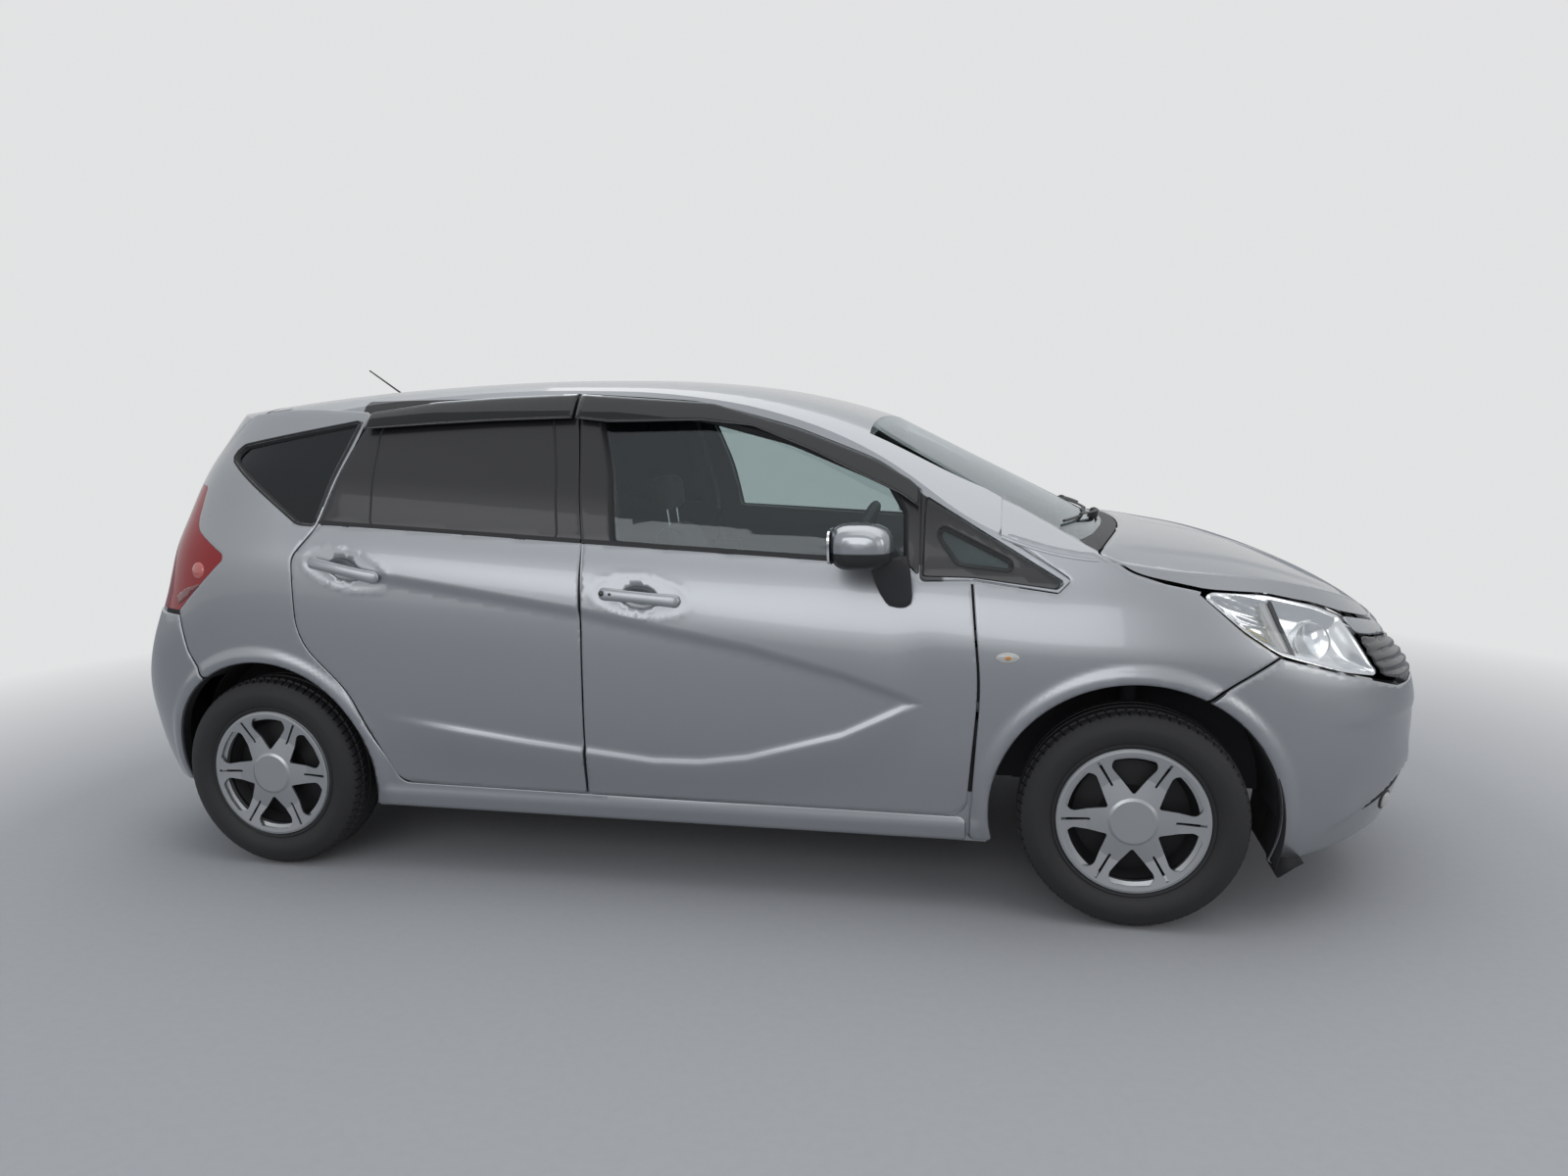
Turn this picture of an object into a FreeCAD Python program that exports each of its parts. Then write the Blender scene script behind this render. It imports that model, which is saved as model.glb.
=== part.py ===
import FreeCAD, Part
import math
import os

# Five-door hatchback car, right-hand drive, in millimetres.
# X points forward, Y to the left, Z up. The origin is on the ground at mid-length.

V = FreeCAD.Vector

# Overall sizes
WHEELBASE = 2600.0
FRONT_OVERHANG = 838.0
REAR_OVERHANG = 662.0
BODY_WIDTH = 1695.0
BELT_HEIGHT = 997.0
BELT_SLOPE = -0.069
FLOOR_HEIGHT = 225.0
FLOOR_THICKNESS = 12.0
LOAD_FLOOR = 390.0

LENGTH = FRONT_OVERHANG + WHEELBASE + REAR_OVERHANG
NOSE_X = LENGTH / 2
TAIL_X = -LENGTH / 2
FRONT_AXLE_X = NOSE_X - FRONT_OVERHANG
REAR_AXLE_X = TAIL_X + REAR_OVERHANG

# Wheels
TRACK_FRONT = 1480.0
TRACK_REAR = 1485.0
TYRE_RADIUS = 303.0
TYRE_WIDTH = 185.0
RIM_RADIUS = 200.0
RIM_GAUGE = 6.0
BEAD_RADIUS = 178.0
RIM_WIDTH = 150.0
HUB_RADIUS = 72.0
HUB_REACH = 48.0
COVER_SPOKE_PAIRS = 6
FRONT_ARCH_RADIUS = 378.0
REAR_ARCH_RADIUS = 360.0
ARCH_CENTRE_Z = 303.0
KINGPIN_Y = 648.0
KNUCKLE_HALF = 120.0
STRUT_Y = -600.0
TOWER_TOP = 770.0
APRON_FOOT = 300.0

# Panels and gaps
SHUT_GAP = 5.0
FLANGE = 4.0
FLANGE_SEAT = 7.5
DOOR_INSET = 16.0
DOORWAY_INSET = 9.0
HINGE_INSET = 30.0
WALL = 105.0
PILLAR_WALL = 48.0
SKIN = 26.0
GLASS = 5.0
GLASS_DEPTH = 12.0
REST_GAP = 0.3
TRIM_GAP = 0.6
ROOF_THICKNESS = 34.0

# Hinges
HINGE_DEPTH = 28.0
POCKET_DEPTH = 62.0
HINGE_AHEAD = 45.0
PIN_RADIUS = 5.0
KNUCKLE_RADIUS = 9.0
PIN_CLEARANCE = 0.1

# Steering wheel
STEER_RADIUS = 185.0
STEER_X = 395.0
STEER_Y = -370.0
STEER_Z = 945.0
AERIAL_X = -1330.0
COLUMN_TILT = 24.0

# Each row of the body's plan: height at mid-length, share of the belt's slope, half width, nose and tail
ROWS = [
    (140, 0, 768, 1930, -1945),
    (230, 0, 800, 1988, -1985),
    (330, 0, 814, 2027, -2025),
    (450, 0, 831, 2048, -2046),
    (580, 0, 843, 2046, -2049),
    (700, 0.3, 847.5, 2019, -2002),
    (800, 0.6, 845, 1963, -1942),
    (890, 1, 832, 1905, -1902),
    (950, 1, 815, 1843, -1882),
    (997, 1, 797, 1790, -1864),
    (1060, 1, 775, 1710, -1839),
    (1150, 1, 744, 1600, -1797),
    (1260, 0.8, 692, 1480, -1746),
    (1370, 0.5, 643, 1380, -1699),
    (1450, 0.15, 600, 1320, -1672),
    (1510, 0, 556, 1290, -1645),
    (1580, 0, 498, 1260, -1605),
]
COLUMNS = 45
CAP_FRONT_X = NOSE_X - 1138.0
CAP_REAR_X = TAIL_X + 1062.0
NOSE_POWERS = (3.2, 2.9)
TAIL_POWERS = (5.0, 3.5)
OVERLAP_Y = 150.0

# Places of joints and seams
ROOF_PANEL_Y = 550.0
HOOD_HINGE_X = 1062.0
HOOD_HINGE_Y = 650.0
HOOD_HINGE_Z = 1020.0
GATE_HINGE_X = -1432.0
GATE_HINGE_Y = 450.0
GATE_HINGE_Z = 1443.0
GATE_SWING = 70.0
COWL_SHELF = 948.0
ENGINE_REAR_X = 1045.0
BUMPER_JOINT_X = 1386.0
ROOF_REAR_X = -1490.0
HEADER_X = 484.0
HINGE_HEIGHTS = (590.0, 790.0)
FRONT_HINGE_X = 806.0 + HINGE_AHEAD
REAR_HINGE_X = -318.0 + HINGE_AHEAD
FRONT_STEPS = (FRONT_HINGE_X - HINGE_AHEAD - HINGE_INSET, REAR_HINGE_X + KNUCKLE_RADIUS + 8)
REAR_STEPS = (REAR_HINGE_X - HINGE_AHEAD - HINGE_INSET, None)
HINGE_STEP_TOP = 880.0
COWL_FRONT = 1215.0
COWL_BOW = 115.0
SCREEN_END = 1165.0

# Centre lines from above: distance along X and height
HOOD_LINE = [(300, 1120), (900, 1080), (1100, 1062), (1300, 1028), (1500, 988), (1700, 920), (1850, 846),
             (1950, 770), (2100, 640)]
ROOF_LINE = [(2200, 1200), (1400, 1200), (1000, 1226), (750, 1290), (590, 1352), (390, 1423), (150, 1480),
             (-131, 1513), (-336, 1522), (-560, 1525), (-800, 1520), (-1165, 1501), (-1467, 1472),
             (-1730, 1436), (-1900, 1405)]
SCREEN_FOOT = (849.0, 1207.0)
SCREEN_SLOPE = -0.513
SCREEN_BOW = 105.0
RAIL_Y = 700.0

# Outlines seen from the side as (x, z, radius), and those of the nose and tail as (y, z, radius)
FRONT_DOOR = [(-334, 292, 12), (-322, 628, 900), (-318, 800, 900), (-329, 1028, 900), (-389, 1465, 14),
              (0, 1434, 700), (279, 1357, 900), (520, 1263, 500), (641, 1180, 20),
              (645, 941, 15), (781, 943, 12), (806, 660, 900), (772, 289, 60)]
REAR_DOOR = [(-334, 292, 12), (-322, 628, 900), (-318, 800, 900), (-329, 1028, 900), (-389, 1465, 14),
             (-855, 1452, 700), (-1055, 1424, 40), (-1090, 1345, 60), (-1176, 1082, 200), (-1252, 990, 60),
             (-1240, 740, 200), (-1085, 585, 300), (-1010, 430, 300), (-950, 298, 70)]
FRONT_GLASS = [(-236, 1040, 12), (-262, 1230, 600), (-318, 1410, 20), (0, 1388, 500), (268, 1316, 500),
               (552, 1198, 30), (600, 1122, 30), (604, 984, 10)]
REAR_GLASS = [(-998, 1090, 14), (-410, 1050, 12), (-432, 1230, 600), (-470, 1412, 20), (-800, 1404, 500),
              (-1016, 1376, 25)]
QUARTER_GLASS = [(-1098, 1392, 8), (-1190, 1088, 10), (-1245, 1092, 60), (-1538, 1292, 40), (-1500, 1324, 30)]
CORNER_GLASS = [(652, 1168, 8), (648, 952, 8), (786, 949, 60), (1005, 921, 12), (1028, 940, 12)]
CORNER_OPENING = [(680, 1108, 10), (676, 982, 10), (955, 955, 14)]
HEADLAMP = [(1370, 906, 12), (1400, 918, 30), (1533, 905, 300), (1668, 871, 300), (1760, 838, 300),
            (1900, 760, 100), (1930, 640, 60), (1740, 700, 200), (1567, 752, 200), (1476, 813, 200)]
TAIL_LAMP = [(-1628, 1200, 15), (-1640, 1075, 60), (-1500, 996, 25), (-1500, 978, 15), (-1690, 815, 20),
             (-1900, 812, 20), (-1900, 1220, 20)]
BODY_SIDE = [(-2060, 260), (-1500, 260), (-1450, 215), (905, 215), (905, 926), (1008, 912),
             (1042, 946), (852, 1064), (882, 1150), (700, 1400), (0, 1700), (-2060, 1700)]
FENDER = [(783, 945, 8), (808, 660, 900), (776, 222, 20), (1180, 222), (1385, 640), (1453, 685, 200),
          (1567, 752), (1476, 813, 200), (1368, 910, 12), (1238, 953, 300), (1192, 968, 150), (1116, 1024, 40),
          (1100, 1060), (882, 1150), (852, 1064), (1042, 946), (1008, 912)]
FRONT_BUMPER = [(1388, 638), (1453, 684, 200), (1567, 750), (1740, 698, 200), (1930, 638, 60), (2100, 630),
                (2100, 238), (1850, 228, 200), (1645, 180, 100), (1588, 158), (1388, 300)]
REAR_BUMPER = [(-1600, 240), (-1590, 604), (-1650, 690, 100), (-1688, 806, 20), (-2100, 806), (-2100, 232),
               (-1750, 236, 100)]
TAILGATE = [(20, 648), (-545, 648, 40), (-585, 800, 100), (-600, 1000, 100), (-610, 1200, 100), (-600, 1380, 100),
            (-585, 1600), (20, 1600)]
TAILGATE_GLASS = [(20, 1120), (-540, 1130, 40), (-560, 1360, 60), (-500, 1392, 40), (20, 1400)]
GRILLE = [(20, 640), (-330, 650, 40), (-425, 745, 30), (-400, 780, 30), (20, 796)]
LOWER_GRILLE = [(20, 250), (-420, 262, 40), (-470, 400, 40), (-440, 440, 30), (20, 452)]
HOOD = [(1040, 1300), (1100, 1060), (1116, 1026, 40), (1192, 969, 150), (1238, 954, 300), (1372, 924), (1400, 920, 30),
        (1533, 907, 300), (1668, 873, 300), (1760, 840, 300), (1870, 806, 60), (2000, 796), (2000, 1300)]
FRONT_POCKET = [(-196, 924, 28), (-84, 915, 28), (-84, 852, 28), (-196, 861, 28)]
REAR_POCKET = [(-1124, 1000, 28), (-1012, 979, 28), (-1012, 914, 28), (-1124, 935, 28)]


def blend_line(points, x):
    """Height on a line through the points at x, by a monotone cubic between neighbours."""
    pts = sorted(points)
    if x <= pts[0][0]:
        k = 0
    elif x >= pts[-1][0]:
        k = len(pts) - 2
    else:
        k = max(i for i in range(len(pts) - 1) if pts[i][0] <= x)
    slopes = [(pts[i + 1][1] - pts[i][1]) / (pts[i + 1][0] - pts[i][0]) for i in range(len(pts) - 1)]
    tangents = [slopes[0]] + [(slopes[i - 1] + slopes[i]) / 2 for i in range(1, len(slopes))] + [slopes[-1]]
    x0, z0 = pts[k]
    x1, z1 = pts[k + 1]
    h = x1 - x0
    t = min(max((x - x0) / h, 0.0), 1.0)
    value = (z0 * (2 * t ** 3 - 3 * t ** 2 + 1) + tangents[k] * h * (t ** 3 - 2 * t ** 2 + t)
             + z1 * (3 * t ** 2 - 2 * t ** 3) + tangents[k + 1] * h * (t ** 3 - t ** 2))
    if x < pts[0][0]:
        value += (x - pts[0][0]) * tangents[0]
    if x > pts[-1][0]:
        value += (x - pts[-1][0]) * tangents[-1]
    return value


def belt_z(x):
    """Height of the belt line at x."""
    return BELT_HEIGHT + BELT_SLOPE * min(max(x, -1300.0), 1000.0)


def plan_curve(half_width, nose, tail):
    """Plan outline of one row, from just past the nose's middle round the right side to past the tail's."""
    points = []
    for cap_x, end, powers, reverse in ((CAP_FRONT_X, nose, NOSE_POWERS, False),
                                        (CAP_REAR_X, tail, TAIL_POWERS, True)):
        n, m = powers
        start = -math.asin((OVERLAP_Y / half_width) ** (m / 2))
        cap = []
        for i in range(121):
            angle = start + (math.pi / 2 - start) * i / 120
            side = math.copysign(abs(math.sin(angle)) ** (2 / m), angle)
            x = cap_x + (end - cap_x) * abs(math.cos(angle)) ** (2 / n)
            cap.append((x, -half_width * side))
        points += cap[::-1] if reverse else cap
    return points


def even_points(points, count):
    """Points at even steps of arc length along a fine polyline."""
    lengths = [0.0]
    for a, b in zip(points, points[1:]):
        lengths.append(lengths[-1] + math.dist(a, b))
    result = []
    k = 0
    for i in range(count):
        target = lengths[-1] * i / (count - 1)
        while k < len(points) - 2 and lengths[k + 1] < target:
            k += 1
        step = lengths[k + 1] - lengths[k]
        t = (target - lengths[k]) / step if step > 0 else 0.0
        a, b = points[k], points[k + 1]
        result.append((a[0] + (b[0] - a[0]) * t, a[1] + (b[1] - a[1]) * t))
    return result


def sewn_solid(faces):
    """Closed solid from faces that share their edges."""
    shell = Part.makeShell(faces)
    shell.sewShape()
    solid = Part.makeSolid(Part.Shell(shell.Faces))
    if solid.Volume < 0:
        solid.reverse()
    return solid


def ring(low_inset, high_inset):
    """Right half of the body inside its side surface, moved in by one inset below the belt and one above."""
    grid = []
    for z0, share, half_width, nose, tail in ROWS:
        t = min(max((z0 - BELT_HEIGHT + 47) / 110, 0.0), 1.0)
        inset = low_inset + (high_inset - low_inset) * t
        curve = plan_curve(half_width * BODY_WIDTH / 1695.0 - inset, nose - inset, tail + inset)
        grid.append([V(x, y, z0 + share * (belt_z(x) - BELT_HEIGHT)) for x, y in even_points(curve, COLUMNS)])
    surface = Part.BSplineSurface()
    surface.interpolate(grid)
    side = surface.toShape()
    bottom, top = sorted((e for e in side.Edges if e.BoundBox.ZLength < 1), key=lambda e: e.BoundBox.ZMin)
    front, rear = sorted((e for e in side.Edges if e.BoundBox.ZLength > 1), key=lambda e: -e.BoundBox.XMin)
    caps = []
    for edge in (bottom, top):
        ends = [v.Point for v in edge.Vertexes]
        caps.append(Part.Face(Part.Wire([edge, Part.makeLine(ends[0], ends[1])])))
    corners = [sorted((v.Point for v in e.Vertexes), key=lambda p: p.z) for e in (front, rear)]
    closing = [front, rear] + [Part.makeLine(corners[0][i], corners[1][i]) for i in (0, 1)]
    caps.append(Part.Face(Part.Wire(Part.__sortEdges__(closing))))
    solid = sewn_solid([side] + caps)
    return solid.common(block(-3000, 3000, -1000, 0, 0, 2000))


def block(x0, x1, y0, y1, z0, z1):
    """Box between two corners."""
    return Part.makeBox(x1 - x0, y1 - y0, z1 - z0, V(x0, y0, z0))


def height_field(height, x0, x1, nx, depth, margin):
    """Solid between the surface z = height(x, y) and the same surface moved by depth, past the centre line."""
    ys = [-940 - margin, -870, -800, -740, -690, -640, -590, -530, -450, -340, -210, -70, 70, 200 + margin]
    xs = [x0 + (x1 - x0) * i / (nx - 1) for i in range(nx)]
    surface = Part.BSplineSurface()
    surface.interpolate([[V(x, y, height(x, y)) for y in ys] for x in xs])
    return surface.toShape().extrude(V(0, 0, depth))


def hood_z(x, y):
    """Hood surface: its centre line, falling to the sides ever faster."""
    s = abs(y) / 800
    return blend_line(HOOD_LINE, x) - 30 * s ** 2 - 46 * s ** 6


def roof_z(x, y):
    """Roof surface: its centre line, nearly level and then rounding over the rail, straight beyond it."""
    side = abs(y)
    rail = min(side, RAIL_Y)
    drop = 45 * (rail / 640) ** 8
    return blend_line(ROOF_LINE, x) - 24 * (side / 560) ** 2 - drop - 8 * drop / RAIL_Y * (side - rail)


def screen_z(x, y):
    """Windscreen surface: a straight rake, bowed back towards the pillars."""
    return SCREEN_FOOT[1] + SCREEN_SLOPE * (x + SCREEN_BOW * (y / 720) ** 2 - SCREEN_FOOT[0])


def outline(points, plane):
    """Closed wire through corners, each rounded by its radius if it has one. plane maps (a, b) to a point."""
    count = len(points)
    corners = []
    for i, point in enumerate(points):
        a = V(point[0], point[1], 0)
        p = V(points[i - 1][0], points[i - 1][1], 0)
        q = V(points[(i + 1) % count][0], points[(i + 1) % count][1], 0)
        radius = point[2] if len(point) > 2 else 0
        u, w = (p - a), (q - a)
        turn = math.pi - u.getAngle(w)
        if radius <= 0 or turn < 0.01:
            corners.append((a, None, a))
            continue
        reach = min(radius * math.tan(turn / 2), 0.48 * u.Length, 0.48 * w.Length)
        r = reach / math.tan(turn / 2)
        u.normalize()
        w.normalize()
        middle = u + w
        middle.normalize()
        apex = a + middle * (r / math.cos(turn / 2) - r)
        corners.append((a + u * reach, apex, a + w * reach))
    edges = []
    for i, (start, apex, end) in enumerate(corners):
        if apex is not None:
            edges.append(Part.Arc(plane(start), plane(apex), plane(end)).toShape())
        following = corners[(i + 1) % count][0]
        if (following - end).Length > 1e-4:
            edges.append(Part.makeLine(plane(end), plane(following)))
    return Part.Wire(edges)


def shrunk(points, inset):
    """Corners of an outline moved in by inset, or out where it is negative; radii are kept."""
    count = len(points)
    area = sum(points[i - 1][0] * points[i][1] - points[i][0] * points[i - 1][1] for i in range(count))
    sign = 1 if area > 0 else -1
    lines = []
    for i in range(count):
        (x0, z0), (x1, z1) = points[i - 1][:2], points[i][:2]
        length = math.hypot(x1 - x0, z1 - z0)
        nx, nz = -(z1 - z0) / length * sign, (x1 - x0) / length * sign
        lines.append((x0 + nx * inset, z0 + nz * inset, x1 - x0, z1 - z0))
    result = []
    for i in range(count):
        ax, az, adx, adz = lines[i]
        bx, bz, bdx, bdz = lines[(i + 1) % count]
        cross = adx * bdz - adz * bdx
        if abs(cross) < 1e-6 * math.hypot(adx, adz) * math.hypot(bdx, bdz):
            corner = (bx, bz)
        else:
            t = ((bx - ax) * bdz - (bz - az) * bdx) / cross
            corner = (ax + t * adx, az + t * adz)
        result.append(corner + tuple(points[i][2:]))
    return result


def prism(points, plane, along, shrink=0.0):
    """Extruded outline, made smaller all round by shrink."""
    return Part.Face(outline(shrunk(points, shrink) if shrink else points, plane)).extrude(along)


def side_prism(points, shrink=0.0, y0=-900.0, y1=0.0):
    """Prism across the car from an outline seen from the side, as (x, z)."""
    return prism(points, lambda p: V(p.x, y0, p.y), V(0, y1 - y0, 0), shrink)


def top_prism(points, z0=100.0, z1=1600.0):
    """Upright prism from an outline seen from above, as (x, y)."""
    return prism(points, lambda p: V(p.x, p.y, z0), V(0, 0, z1 - z0))


def front_prism(points, x0, x1, shrink=0.0):
    """Prism along the car from an outline seen from the front, as (y, z)."""
    return prism(points, lambda p: V(x0, p.x, p.y), V(x1 - x0, 0, 0), shrink)


def cylinder_y(x, z, radius, y0, y1):
    """Round bar across the car."""
    return Part.makeCylinder(radius, y1 - y0, V(x, y0, z), V(0, 1, 0))


def mirrored(shape):
    """The left side's copy of a shape from the right side."""
    return shape.mirror(V(0, 0, 0), V(0, 1, 0))


def both(shape):
    """A shape of the right side joined with its left copy across the centre plane."""
    return shape.fuse(mirrored(shape)).removeSplitter()



def save(name, shape):
    """Write one sub-part."""
    solids = [s for s in shape.Solids if s.Volume > 500.0]
    result = solids[0] if len(solids) == 1 else Part.makeCompound(solids)
    result.exportStep("parts/" + name + ".step")



# Outlines seen from the right side


def door_inner(points, inset, steps):
    """Outline solid of a door's deep part, stepped back below the belt beside the hinges."""
    part = side_prism(points, inset)
    front, rear = steps
    part = part.cut(block(front - inset, 3000, -1000, 10, 0, HINGE_STEP_TOP + inset))
    if rear is not None:
        part = part.cut(block(-3000, rear + inset, -1000, 10, 0, HINGE_STEP_TOP + inset))
    return part


def hinge(x, y, z, wall_y):
    """Door hinge: the fixed leaf with its pin, and the door's goose-necked leaf."""
    half = 15.0
    plate = Part.makeCylinder(KNUCKLE_RADIUS, 10, V(x, y, z + half + REST_GAP))
    plate = plate.fuse(block(x - KNUCKLE_RADIUS, x + KNUCKLE_RADIUS, y, wall_y, z + half + REST_GAP,
                             z + half + REST_GAP + 10))
    pin = Part.makeCylinder(PIN_RADIUS, 2 * half + REST_GAP, V(x, y, z - half))
    fixed = plate.fuse(pin)
    neck = outline([(x + 2, y + 3), (x - 22, y + 58, 10), (x - 125, y + 58), (x - 125, y + 46), (x - 34, y + 46, 10),
                    (x - 10, y - 3)], lambda p: V(p.x, p.y, z - half))
    moving = Part.Face(neck).extrude(V(0, 0, 2 * half))
    moving = moving.fuse(Part.makeCylinder(KNUCKLE_RADIUS, 2 * half, V(x, y, z - half)))
    moving = moving.cut(Part.makeCylinder(PIN_RADIUS + PIN_CLEARANCE, 2 * half + 2, V(x, y, z - half - 1)))
    return fixed, moving


def wheel_arch(x, radius, y0, y1):
    """Round bar that opens a wheel arch, with straight sides down to the ground."""
    return cylinder_y(x, ARCH_CENTRE_Z, radius, y0, y1).fuse(
        block(x - radius, x + radius, y0, y1, 0, ARCH_CENTRE_Z))


def build_shells():
    """The master solids that every panel is cut from."""
    over_screen = height_field(screen_z, 300, 2150, 6, 1800, 20)
    over_hood = height_field(hood_z, 280, 2160, 14, 1600, 40)
    shells = {
        "roof": height_field(roof_z, -2100, 2180, 30, -1500, 0), "over": over_screen.common(over_hood),
        "outer": ring(0, 0), "flange": ring(FLANGE, FLANGE), "seat": ring(FLANGE_SEAT, FLANGE_SEAT),
        "skin": ring(SKIN, SKIN), "inner": ring(WALL, PILLAR_WALL),
        "glass": ring(GLASS_DEPTH, GLASS_DEPTH).cut(ring(GLASS_DEPTH + GLASS, GLASS_DEPTH + GLASS)),
    }
    shells["body"] = under(shells, shells["outer"], 0)
    shells["cavity"] = under(shells, shells["inner"], -ROOF_THICKNESS)
    return shells


def under(shells, shape, dz):
    """What of a shape lies below the roof, screen and hood surfaces moved up by dz."""
    return shape.common(raised(shells["roof"], dz)).cut(raised(shells["over"], dz))


def raised(shape, dz):
    """Copy moved up by dz, or down where dz is negative."""
    moved = shape.copy()
    moved.translate(V(0, 0, dz))
    return moved


def door(shells, points, glass, pocket, hinge_x, steps):
    """Door with its window frame, handle pocket and hinge leaves, its pane, and the body's hinge leaves."""
    full = under(shells, shells["outer"].common(side_prism(points, SHUT_GAP / 2)), 0).cut(shells["inner"])
    recess = side_prism(points, -2 * SHUT_GAP, -1000).cut(door_inner(points, DOOR_INSET, steps))
    grip = side_prism(pocket, 0, -1000).cut(shells["skin"])
    panel = full.cut([recess.common(shells["flange"]), side_prism(glass, 0, -1000), grip])
    pane = shells["glass"].common(side_prism(glass, REST_GAP))
    fixed = []
    hinge_y = HINGE_DEPTH - BODY_WIDTH / 2
    for z in HINGE_HEIGHTS:
        leaf, neck = hinge(hinge_x, hinge_y, z, hinge_y + POCKET_DEPTH + 10)
        fixed.append(leaf)
        panel = panel.fuse(neck)
    return panel, pane, fixed


def hinge_pocket(hinge_x, z):
    """Room in the pillar for one hinge and the swing of its neck."""
    y = HINGE_DEPTH - BODY_WIDTH / 2
    return block(hinge_x - 95, hinge_x + 14, y - HINGE_DEPTH, y + POCKET_DEPTH, z - 22, z + 30)


def body_side(shells, leaves):
    """Side of the body shell: pillars, rail, sill and rear quarter, with doorways and rebates."""
    wall = shells["body"].cut(shells["cavity"])
    rail = block(-2200, 2200, -1000, -ROOF_PANEL_Y - REST_GAP, 100, 1700)
    side = wall.common(side_prism(BODY_SIDE, 0, -1000)).common(rail)
    cuts = [door_inner(FRONT_DOOR, DOORWAY_INSET, FRONT_STEPS)]
    cuts += [door_inner(REAR_DOOR, DOORWAY_INSET, REAR_STEPS)]
    cuts += [side_prism(p, -SHUT_GAP / 2, -1000).cut(shells["seat"]) for p in (FRONT_DOOR, REAR_DOOR, FENDER)]
    cuts += [side_prism(p, 0, -1000) for p in (QUARTER_GLASS, TAIL_LAMP, REAR_BUMPER)]
    cuts += [side_prism(CORNER_OPENING, 0, -1000), side_prism(CORNER_GLASS, 0, -1000).cut(shells["skin"])]
    cuts += [wheel_arch(REAR_AXLE_X, REAR_ARCH_RADIUS, -1000, -640)]
    cuts += [wheel_arch(FRONT_AXLE_X, FRONT_ARCH_RADIUS + 6, -1000, -400)]
    cuts += [hinge_pocket(x, z) for x in (FRONT_HINGE_X, REAR_HINGE_X) for z in HINGE_HEIGHTS]
    cuts += [front_prism(TAILGATE, -2100, -1400, -SHUT_GAP / 2)]
    cuts += [under(shells, shells["inner"], 0).common(block(HEADER_X, 2000, -900, 0, 900, 1700))]
    for tool in cuts:
        side = side.cut(tool)
    x, z, r = REAR_AXLE_X, ARCH_CENTRE_Z, REAR_ARCH_RADIUS
    house = cylinder_y(x, z, r + 6, -835, -600).cut(cylinder_y(x, z, r, -841, -606))
    house = house.common(block(x - 400, x + 400, -835, -600, z + 60, 900)).common(shells["inner"])
    return side.fuse(leaves + [house])


def across_arc(x_middle, bow, at, start=60):
    """Plan points from the centre line to the side on a line bowed back by bow at the side."""
    return [(x_middle - bow * (y / at) ** 2, -y) for y in range(0, 901, start)]


def behind(x_middle, bow, at, gap):
    """Upright prism of everything behind a bowed line across the car."""
    points = across_arc(x_middle - gap, bow, at)
    return top_prism([(-2200, 0)] + points + [(-2200, -900)])


def wheel():
    """Steel wheel with its drop-centre rim, disc, hub and cover, about the Y axis, outboard towards -Y."""
    half, edge, bead = RIM_WIDTH / 2, RIM_RADIUS, BEAD_RADIUS
    wall = RIM_GAUGE
    barrel = [(edge, -half), (edge, -half + wall), (bead, -half + wall + 4), (bead, -half + 32), (bead - 18, -20),
              (bead - 18, 20), (bead, half - 32), (bead, half - wall - 4), (edge, half - wall), (edge, half),
              (edge - wall, half), (bead - wall, half - 8), (bead - wall, half - 30), (bead - 24, 20),
              (bead - 24, -20), (bead - wall, -half + 30), (bead - wall, -half + 8), (edge - wall, -half)]
    rim = revolved(barrel)
    disc = revolved([(0, -30), (88, -30), (bead - 24, -18), (bead - 20, -8), (bead - 24, -8), (92, -20),
                     (0, -20)])
    face = -half - 4
    dish = [(0, face), (58, face), (64, face + 6), (120, face + 12), (edge - 6, face + 1), (edge - 2, face - 4),
            (edge - 8, face - 5), (120, face + 7), (66, face - 1), (58, face - 5), (0, face - 5)]
    holes = []
    for i in range(COVER_SPOKE_PAIRS):
        turn = 360.0 / COVER_SPOKE_PAIRS
        window = [(74, 0, 6), (150, -62, 25), (176, -50, 12), (182, 0, 100), (176, 50, 12), (150, 62, 25)]
        slot = [(110, -3), (186, -4), (186, 4), (110, 3)]
        for points, angle in ((window, turn * i), (slot, turn * (i + 0.5))):
            hole = prism(points, lambda p: V(p.y, -200, p.x), V(0, 300, 0))
            hole.rotate(V(0, 0, 0), V(0, 1, 0), angle)
            holes.append(hole)
    cover = revolved(dish).cut(holes)
    clip = revolved([(edge - 14, face - 2), (edge - 3, face - 2), (edge - 3, -half + 1),
                     (edge - 14, -half + 1)])
    hub = cylinder_y(0, 0, HUB_RADIUS - 12, face - 2, HUB_REACH - REST_GAP)
    return rim.fuse([disc, cover, clip, hub])


def revolved(profile):
    """Ring or disc from a closed profile of (radius, y) turned about the Y axis."""
    corners = [V(0, y, r) for r, y in profile + profile[:1]]
    return Part.Face(Part.makePolygon(corners)).revolve(V(0, 0, 0), V(0, 1, 0), 360)


def tyre():
    """Tyre as one revolved band with rounded shoulders, its beads seated inside the rim's flanges."""
    half, w, r = RIM_WIDTH / 2, TYRE_WIDTH / 2, TYRE_RADIUS
    bore, lip = BEAD_RADIUS + REST_GAP, RIM_RADIUS + REST_GAP
    inside = half - RIM_GAUGE - REST_GAP
    right = [(bore, 4 - inside), (lip, -inside), (lip, 3 - half), (lip + 14, 6 - w, 10), (lip + 48, -w, 60),
             (r - 22, 6 - w, 30), (r - 2, 26 - w, 14)]
    left = [(point[0], -point[1]) + tuple(point[2:]) for point in reversed(right)]
    face = Part.Face(outline(right + [(r, 0, 900)] + left, lambda p: V(0, p.y, p.x)))
    return face.revolve(V(0, 0, 0), V(0, 1, 0), 360)


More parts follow.
